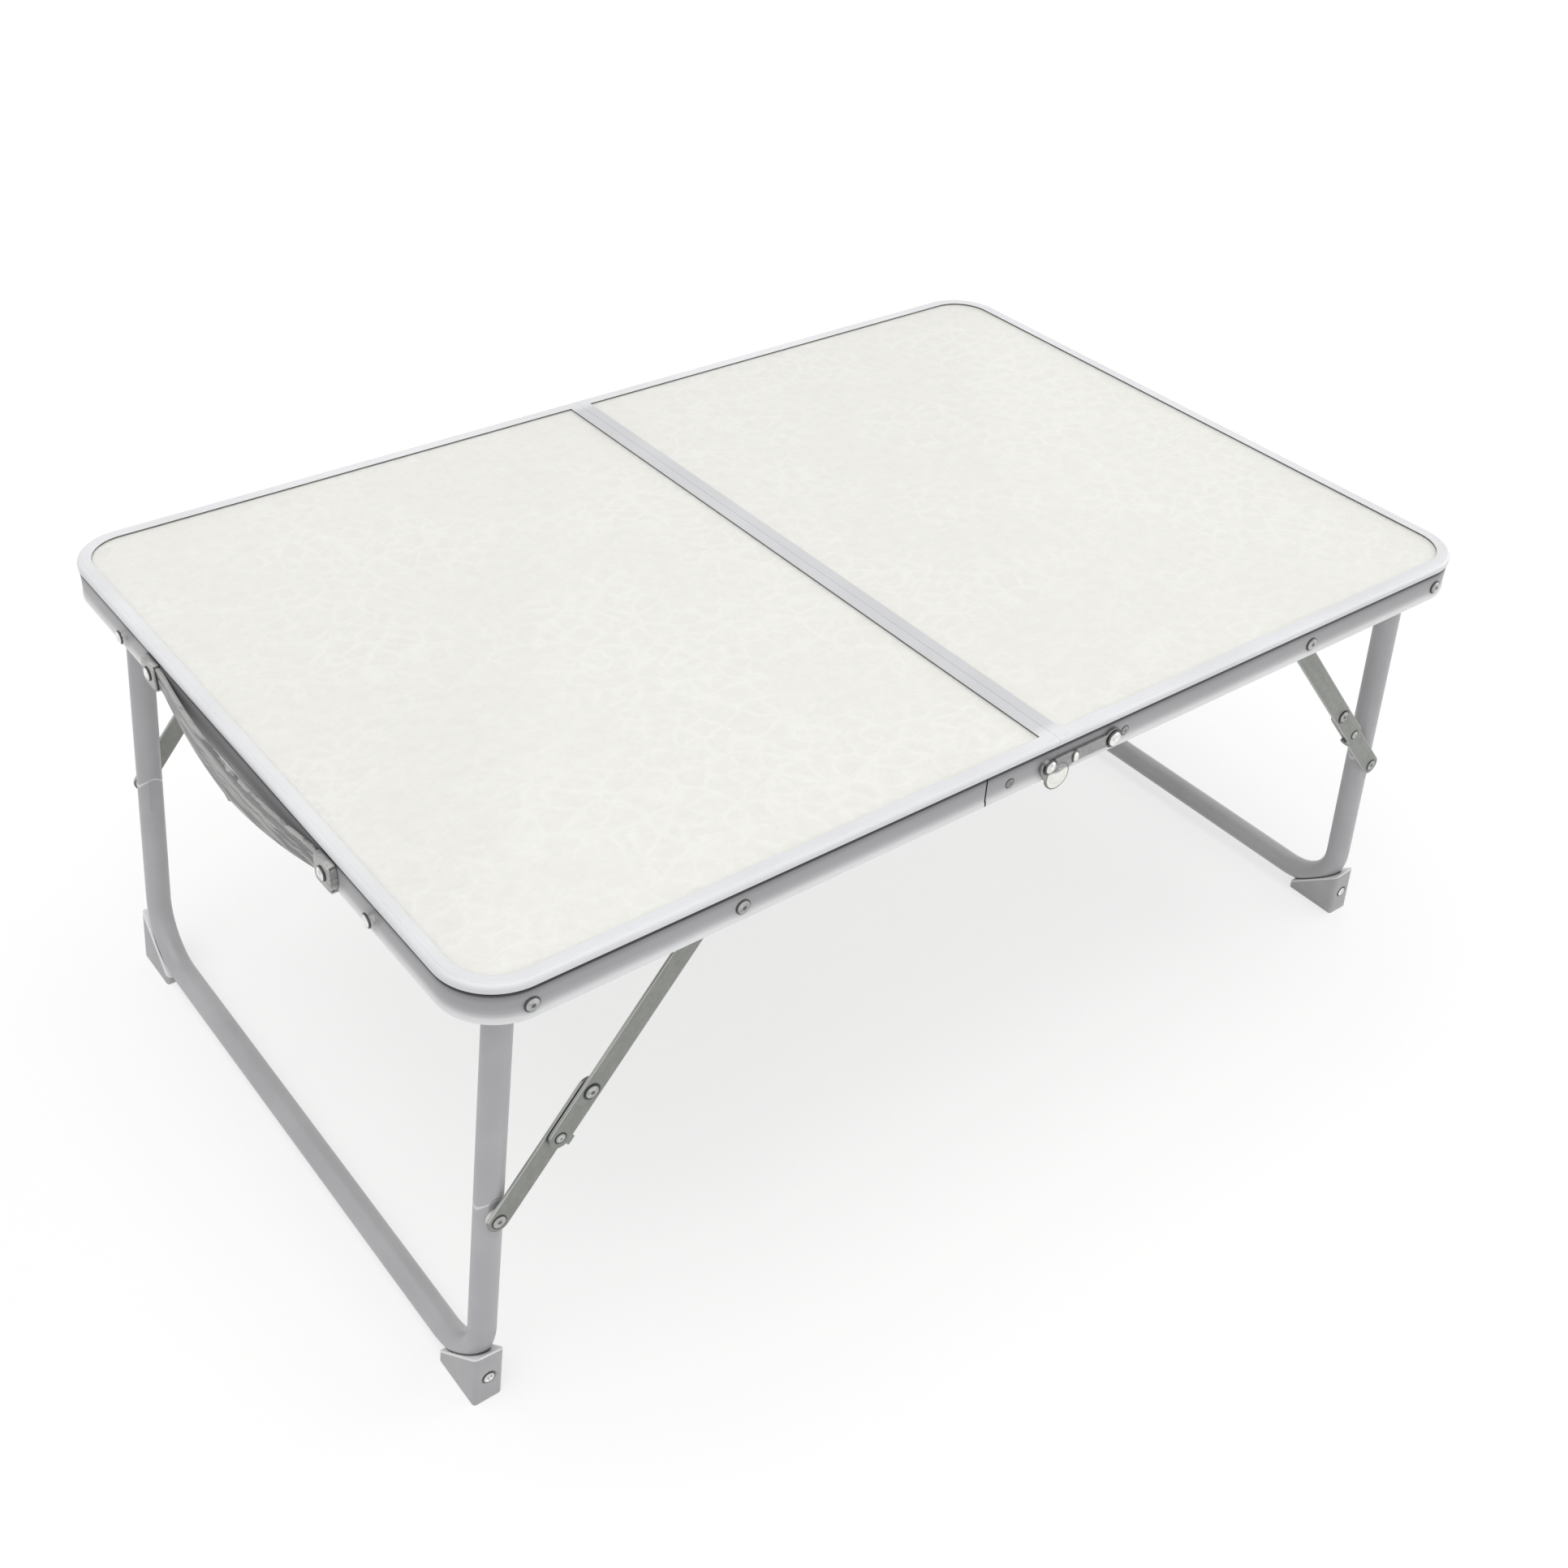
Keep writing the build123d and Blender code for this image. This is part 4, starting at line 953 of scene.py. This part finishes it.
stud = turned([
    (0, 1.75), (1.0, 1.72), (2.1, 1.45), (3.0, 0.9), (3.5, 0.3), (3.45, 0.0), (2.9, -0.1), (2.0, -0.1),
    (2.0, -4.9), (3.1, -4.9), (3.2, -5.1), (2.5, -5.85), (0, -5.9),
])
side_stud = ((6.5, 201.9, table_top - 11.5), (0, 1, 0))
end_studs = pair_on_end(301.9, end_latch_from_middle)
for half, turn, banks in halves:
    spots = [side_stud] + (end_studs if half == "left" else [])
    fit(
        f"{half}_studs", placed(set_fasteners(stud, spots, bright_steel), turn), bright_steel,
        f"{half}_half", [f"{half}_latch_studs"], 40,
    )

# Side hooks. Pressed steel hooks that hang on a rivet beside the seam and cup the other half's stud from
# below, with a round dished thumb tab under the seam and a raised knuckle where the arm bends down.
hook_depth = 200.2
hook_boss = (34.0, table_top - 12.0)
hook_stud = (-6.5, table_top - 11.5)
hook_bowl = (-0.5, table_top - 19.0)
bowl_radius = 7.2
mouth = 2.4

hook_zinc, bench = new_finish("bright_zinc_pressing")
place = bench.place()
brushed = bench.noise(bench.stretched(place, (90, 90, 900)), 1.0, 4.0, 0.6)
spangle = bench.noise(place, 320.0, 5.0, 0.6)
bench.coat({
    "Base Color": bench.mix(
        bench.between(brushed * 0.5 + spangle * 0.5, 0.32, 0.68), (0.3, 0.305, 0.3), (0.5, 0.5, 0.485)
    ),
    "Roughness": 0.24 + 0.25 * spangle,
    "Normal": bench.relief(brushed * 0.5 + spangle * 0.5, 0.00005, 0.5),
    "Metallic": 0.85,
})

latch_zinc, bench = new_finish("rubbed_zinc_latch")
place = bench.place()
part = bench.parts(place)
along = 0.0 - part["X"] * part["Y"].maths("SIGN", part["Y"])
spangle = bench.noise(place, 320.0, 5.0, 0.6)


def away(middle):
    return ((along - middle[0] * mm) ** 2.0 + (part["Z"] - middle[1] * mm) ** 2.0) ** 0.5


knuckle_spot = (9.3, hook_boss[1])
from_stud, from_bowl, from_boss = (away(spot) for spot in (hook_stud, hook_bowl, hook_boss))
from_knuckle = (
    ((along - knuckle_spot[0] * mm) * 1.7) ** 2.0 + (part["Z"] - knuckle_spot[1] * mm) ** 2.0
) ** 0.5
# Painted highlight: the lower crescent of the dished tab and the knuckle are lighter
painted_highlight = bench.within(from_bowl, 6.2, 6.6) * bench.within(part["Z"], 240.0, 241.5)
painted_highlight = painted_highlight.larger(bench.within(from_knuckle, 2.2, 2.6))
# Painted shade: dark rings round the stud's mouth, the knuckle, the rivet boss and the dish
shaded = bench.within(from_stud, 4.0, 4.8)
shaded = shaded.larger(bench.within(abs(from_knuckle - 3.1 * mm), 0.3, 0.7, 0.8))
shaded = shaded.larger(bench.within(from_boss, 4.7, 5.2))
shaded = shaded.larger(bench.within(abs(from_bowl - 6.9 * mm), 0.2, 0.6, 0.45))
metal = bench.mix(bench.between(spangle, 0.32, 0.68), (0.3, 0.3, 0.3), (0.38, 0.38, 0.38))
metal = bench.mix(painted_highlight, metal, bench.mix(spangle, (0.95, 0.95, 0.9), (0.8, 0.8, 0.75)))
bench.coat({
    "Base Color": bench.mix(shaded * 0.85, metal, (0.06, 0.06, 0.06)),
    "Roughness": 0.22 + 0.25 * spangle,
    "Normal": bench.relief(spangle, 0.00005, 0.5),
    "Metallic": 0.7,
})


def arc(middle, radius, start, end, steps):
    return [
        (middle[0] + radius * cos(start + (end - start) * i / steps),
         middle[1] + radius * sin(start + (end - start) * i / steps))
        for i in range(steps + 1)
    ]


(stud_x, stud_z), arm_z, bowl_end = hook_stud, hook_boss[1], hook_bowl[0] + bowl_radius
tip = stud_x - mouth - 1.3
hook_line = [
    *arc(hook_boss, 5.0, -radians(143), radians(143), 24),
    (stud_x + mouth + 5.0, arm_z + 3.0), (stud_x + mouth + 0.8, arm_z + 2.6), (stud_x + mouth, arm_z + 1.6),
    *arc(hook_stud, mouth, 0, -pi, 12),
    (stud_x - mouth - 0.1, stud_z + 1.2), (tip + 0.5, stud_z + 2.2), (tip, stud_z + 2.4),
    (tip - 0.7, stud_z + 2.1), (tip - 1.1, stud_z + 1.0), (tip - 1.3, stud_z - 1.5),
    *arc(hook_bowl, bowl_radius, -pi, -radians(-20), 30)[1:],
    (bowl_end + 2.0, arm_z - 3.4), (bowl_end + 4.5, arm_z - 3.0),
]
hook = plate(wound(hook_line), [shank_hole(hook_boss)], 1.5, 0.3)
dish = turned([*domed(4.4, 1.3, 0.1, 8), (4.2, -0.4), (0, -0.4)], 48)
dish.transform(moved(*hook_bowl, 1.5))
knuckle = turned([*domed(2.0, 1.7, 0.1), (1.7, -0.4), (0, -0.4)])
knuckle.transform(moved(*knuckle_spot, 1.5) @ Matrix.Diagonal((0.9, 1.4, 1, 1)))
hook = joined([hook, dish, knuckle])
hook_rivet = set_fasteners(
    domed_rivet(4.8, 4.2, 2.0), [((hook_boss[0], -201.8, hook_boss[1]), (0, -1, 0))], bright_steel
)
for half, turn, banks in halves:
    fit(
        f"{half}_latch_hook", placed(hook, turn @ facing_side(1, 0, hook_depth, 0)), latch_zinc,
        f"{banks[1]}_hook", [f"{half}_side_hook"],
    )
    fit(
        f"{half}_latch_hook_pin", placed(hook_rivet, turn), bright_steel, f"{half}_half",
        [f"{half}_side_hook_rivet"], 40,
    )

# End hooks. Two pressed hooks on the right end lie along it while the table is open, each with a thumb tab
# bent out square from its top edge; they swing down over the studs of the left end when the table is shut.
end_depth = 300.2
pivot = (end_latch_from_middle, hook_height)
seat = (end_latch_from_middle + 20.0, hook_height)
blade = plate(wound([
    *arc(pivot, 5.0, radians(44), radians(316), 24),
    (seat[0] - mouth - 2.2, hook_height - 3.5), (seat[0] - mouth - 0.6, hook_height - 4.6),
    (seat[0] - mouth, hook_height - 4.4),
    *arc(seat, mouth, -pi, -2 * pi, 14),
    (seat[0] + mouth, hook_height - 4.2), (seat[0] + mouth + 0.8, hook_height - 4.6),
    *arc(seat, 5.5, radians(-45), radians(90), 14), (seat[0] - 3.0, hook_height + 5.5),
    (seat[0] - 4.2, hook_height + 5.2), (seat[0] - 6.0, hook_height + 3.6),
]), [shank_hole(pivot)], 1.5, 0.3)
tab = plate(oblong(3.5, 0.2, 6.4, 0, 1.4), [], 1.5, 0.25)
tab.transform(moved(seat[0], hook_height + 5.5, 0) @ on_edge)
latch = joined([blade, tab])
for way, bank in ((-1, "front"), (1, "back")):
    mirror = Matrix.Diagonal((way, 1, 1, 1))
    fit(
        f"{bank}_end_latch_hook", placed(latch, facing_end(1, end_depth, 0, 0) @ mirror), hook_zinc,
        f"{bank}_end_latch", [f"{bank}_end_hook"],
    )
end_pins = set_fasteners(domed_rivet(3.5), pair_on_end(301.8, end_latch_from_middle), bright_steel)
fit("end_hook_pins", end_pins, bright_steel, "right_half", ["end_hook_rivets"], 40)

# Carrying handle. A springy strap of grey moulded plastic, streaked where the plastic flowed, hangs along the
# left end; a raised rib runs along its upper edge. Two folded zinc clips hold its ends, each under a domed
# rivet.
strap_face = 300.9
strap_bow = 4.6
free_half = 78.0
bend = 40.0
strap_turn = 2 * atan(strap_bow / free_half)
wide = free_half / sin(strap_turn) - bend
strap_half = 93.6
clip_from_middle = 87.0

streaked, bench = new_finish("streaked_grey_plastic")
place = bench.place()
wander = bench.add(
    "ShaderNodeVectorMath", {"operation": "MULTIPLY_ADD"},
    {0: bench.noise(place, 70.0, 2.0)["Color"], 1: (0.0, 0.012, 0.005), 2: place},
)
flow = bench.noise(bench.stretched(wander, (120, 15, 430)), 1.0, 4.0, 0.6, 0.3)
veins = bench.between(flow, 0.42, 0.6)
threads = bench.between(abs(flow - 0.47), 0.0, 0.022, 1.0, 0.0)
plastic = bench.mix(veins, (0.16, 0.16, 0.16), (0.44, 0.44, 0.43))
bench.coat({
    "Base Color": bench.mix(threads * 0.8, plastic, (0.06, 0.06, 0.06)),
    "Roughness": 0.26 + 0.25 * flow,
    "Normal": bench.relief(flow, 0.0008, 0.8),
})


def strap_outwards(y):
    y = abs(y)
    if y >= free_half:
        return 0.0
    if y >= free_half - bend * sin(strap_turn):
        return bend - sqrt(bend**2 - (free_half - y) ** 2)
    return strap_bow - wide + sqrt(wide**2 - y**2)


form = bmesh.new()
rings = []
stations = 120
for station in range(stations + 1):
    y = -strap_half + 2 * strap_half * station / stations
    sag = max(0.0, 1 - (y / free_half) ** 2)
    tall = 5.6 - 3.1 * sag
    low = -5.6 - 5.7 * sag - 4.7 * max(0.0, 1 - abs(y) / free_half) - 1.6 * max(0.0, 1 - (y / 2.4) ** 2)
    section = rounded([
        (-1.1, low, 0.5), (0.8, low, 0.6), (0.8, tall - 2.4, 0.4), (1.1, tall - 1.8, 0.3), (1.1, tall, 0.5),
        (-1.1, tall, 0.5),
    ], 3)
    tilt = strap_outwards(y + 0.5) - strap_outwards(y - 0.5)
    face = strap_face + strap_outwards(y)
    rings.append([
        form.verts.new((-(face + out / hypot(1, tilt)), y - out * tilt, hook_height + up))
        for out, up in section
    ])
for before, after in zip(rings, rings[1:]):
    for i in range(len(before)):
        j = (i + 1) % len(before)
        form.faces.new((before[i], before[j], after[j], after[i]))
form.faces.new(rings[0])
form.faces.new(rings[-1])
bmesh.ops.recalc_face_normals(form, faces=form.faces)
fit("carrying_strap", from_form(form), streaked, "left_half", ["handle_strap"], 40)

cover = plate(oblong(7.0, -6.6, 6.6, 2.4, 2.4), [shank_hole()], 1.2, 0.3)
cover.transform(moved(0, 0, 2.6))
wall = plate(oblong(6.6, 0, 3.4, 0.4, 0.4), [], 1.0, 0.25)
end = plate(oblong(5.0, 0, 3.4, 0.4, 0.4), [], 1.0, 0.25)
clips = []
for way in (-1, 1):
    clip = joined([
        cover, placed(wall, moved(0, -5.95, 0) @ on_edge), placed(wall, moved(0, 6.95, 0) @ on_edge),
        placed(end, moved(way * 6.95, 0, 0) @ Matrix.Rotation(pi / 2, 4, "Z") @ on_edge),
    ])
    clips.append(placed(clip, facing_end(-1, 299.6, way * clip_from_middle, hook_height)))
fit("strap_clips", joined(clips), hook_zinc, "left_half", ["handle_clips"])
strap_pins = set_fasteners(domed_rivet(5.0), pair_on_end(-303.4, clip_from_middle), bright_steel)
fit("strap_pins", strap_pins, bright_steel, "left_half", ["handle_rivets"], 40)

# Inner fittings. Joiner and backing plates, hinge leaves and pins, bushes and sleeves keep their own shapes;
# they are sheared from plated steel sheet, drawn from rod, or turned from nylon.
sheet_zinc, bench = new_finish("dull_zinc_sheet")
place = bench.place()
spangle = bench.noise(place, 200.0, 5.0, 0.6)
shear = bench.noise(bench.stretched(place, (700, 60, 700)), 1.0, 3.0)
bench.coat({
    "Base Color": bench.mix(bench.between(spangle, 0.3, 0.7), (0.36, 0.37, 0.355), (0.5, 0.505, 0.49)),
    "Roughness": 0.32 + 0.2 * spangle,
    "Normal": bench.relief(spangle * 0.6 + shear * 0.4, 0.00004, 0.4),
    "Metallic": 0.8,
})
nylon, bench = new_finish("milky_nylon")
place = bench.place()
milky = bench.noise(place, 180.0, 4.0)
bench.coat({
    "Base Color": bench.mix(bench.between(milky, 0.3, 0.7), (0.66, 0.655, 0.63), (0.74, 0.735, 0.71)),
    "Roughness": 0.4 + 0.15 * milky,
    "Normal": bench.relief(bench.noise(place, 1100.0), 0.00003, 0.4),
})


def kept(node, finish):
    piece = bpy.data.objects[node]
    if not piece.material_slots:
        piece.data.materials.append(finish)
    for slot in piece.material_slots:
        slot.material = finish


for half in ("left", "right"):
    for node in (f"{half}_strip_joiner", f"{half}_hook_backing_plate", f"{half}_hinge_leaves"):
        kept(node, sheet_zinc)
    for node in (f"{half}_leg_bushes", f"{half}_stay_rail_bushes", f"{half}_leg_sleeves"):
        kept(node, nylon)
kept("hinge_pins", bright_steel)

# Floor and backdrop. A plain white studio sheet lies flat under the table, lit by a window above and two
# fills; it stays white behind the object and in its reflections.


def seen_by_eye(bench):
    """One for what the camera sees, straight or in a reflection, and nought for the rest."""
    ray = bench.add("ShaderNodeLightPath")
    straight = ray["Is Camera Ray"] + ray["Is Glossy Ray"] + ray["Is Transmission Ray"]
    return ray.maths("MINIMUM", straight, 1.0)


floor_white, bench = new_finish("studio_floor")
seen = seen_by_eye(bench)
bench.coat({
    "Base Color": bench.mix(seen, (0.78, 0.78, 0.785), (0.38, 0.38, 0.38)),
    "Roughness": 1.0,
    "Specular IOR Level": 0.0,
    "Emission Color": bench.mix(seen, (0.0, 0.0, 0.0), (0.64, 0.64, 0.64)),
    "Emission Strength": 1.0,
})
floor = shown(bpy.data.meshes.new("studio_floor"), "studio_floor")
floor.data.from_pydata([(-6, -6, 0), (6, -6, 0), (6, 6, 0), (-6, 6, 0)], [], [(0, 1, 2, 3)])
floor.data.materials.append(floor_white)

studio = bpy.data.worlds.new("studio")
bpy.context.scene.world = studio
studio.use_nodes = True
studio.node_tree.nodes.clear()
bench = Bench(studio.node_tree)
seen = seen_by_eye(bench)
bench.add("ShaderNodeOutputWorld", None, {"Surface": bench.add(
    "ShaderNodeBackground", None, {"Color": (1, 1, 1, 1), "Strength": 0.42 + 0.58 * seen},
)})


def lamp(name, comes_from, strength, softness):
    light = bpy.data.lights.new(name, "SUN")
    light.energy, light.angle = strength, radians(softness)
    thing = shown(light, name)
    thing.rotation_euler = Vector(comes_from).to_track_quat("Z", "Y").to_euler()


lamp("window_above", (-0.12, 0.05, 1.0), 1.28, 60)
lamp("fill_from_the_front", (-0.5, -0.6, 0.45), 0.6, 80)
lamp("fill_from_the_right", (0.9, -0.35, 0.3), 0.9, 60)

# Camera. It stands where the photograph's did, as worked out from the table's edges and fittings, and looks
# the same way.
eye = bpy.data.cameras.new("view")
eye.lens = 43.77
eye.sensor_width = 36.0
camera = shown(eye, "view")
look = Matrix((
    (0.7924, 0.3386, -0.5075), (-0.6084, 0.4993, -0.6169), (0.0445, 0.7976, 0.6016),
))
camera.matrix_world = Matrix.Translation((-0.5338, -0.6573, 0.7450)) @ look.to_4x4()
bpy.context.scene.camera = camera
bpy.context.scene.view_settings.view_transform = "Standard"
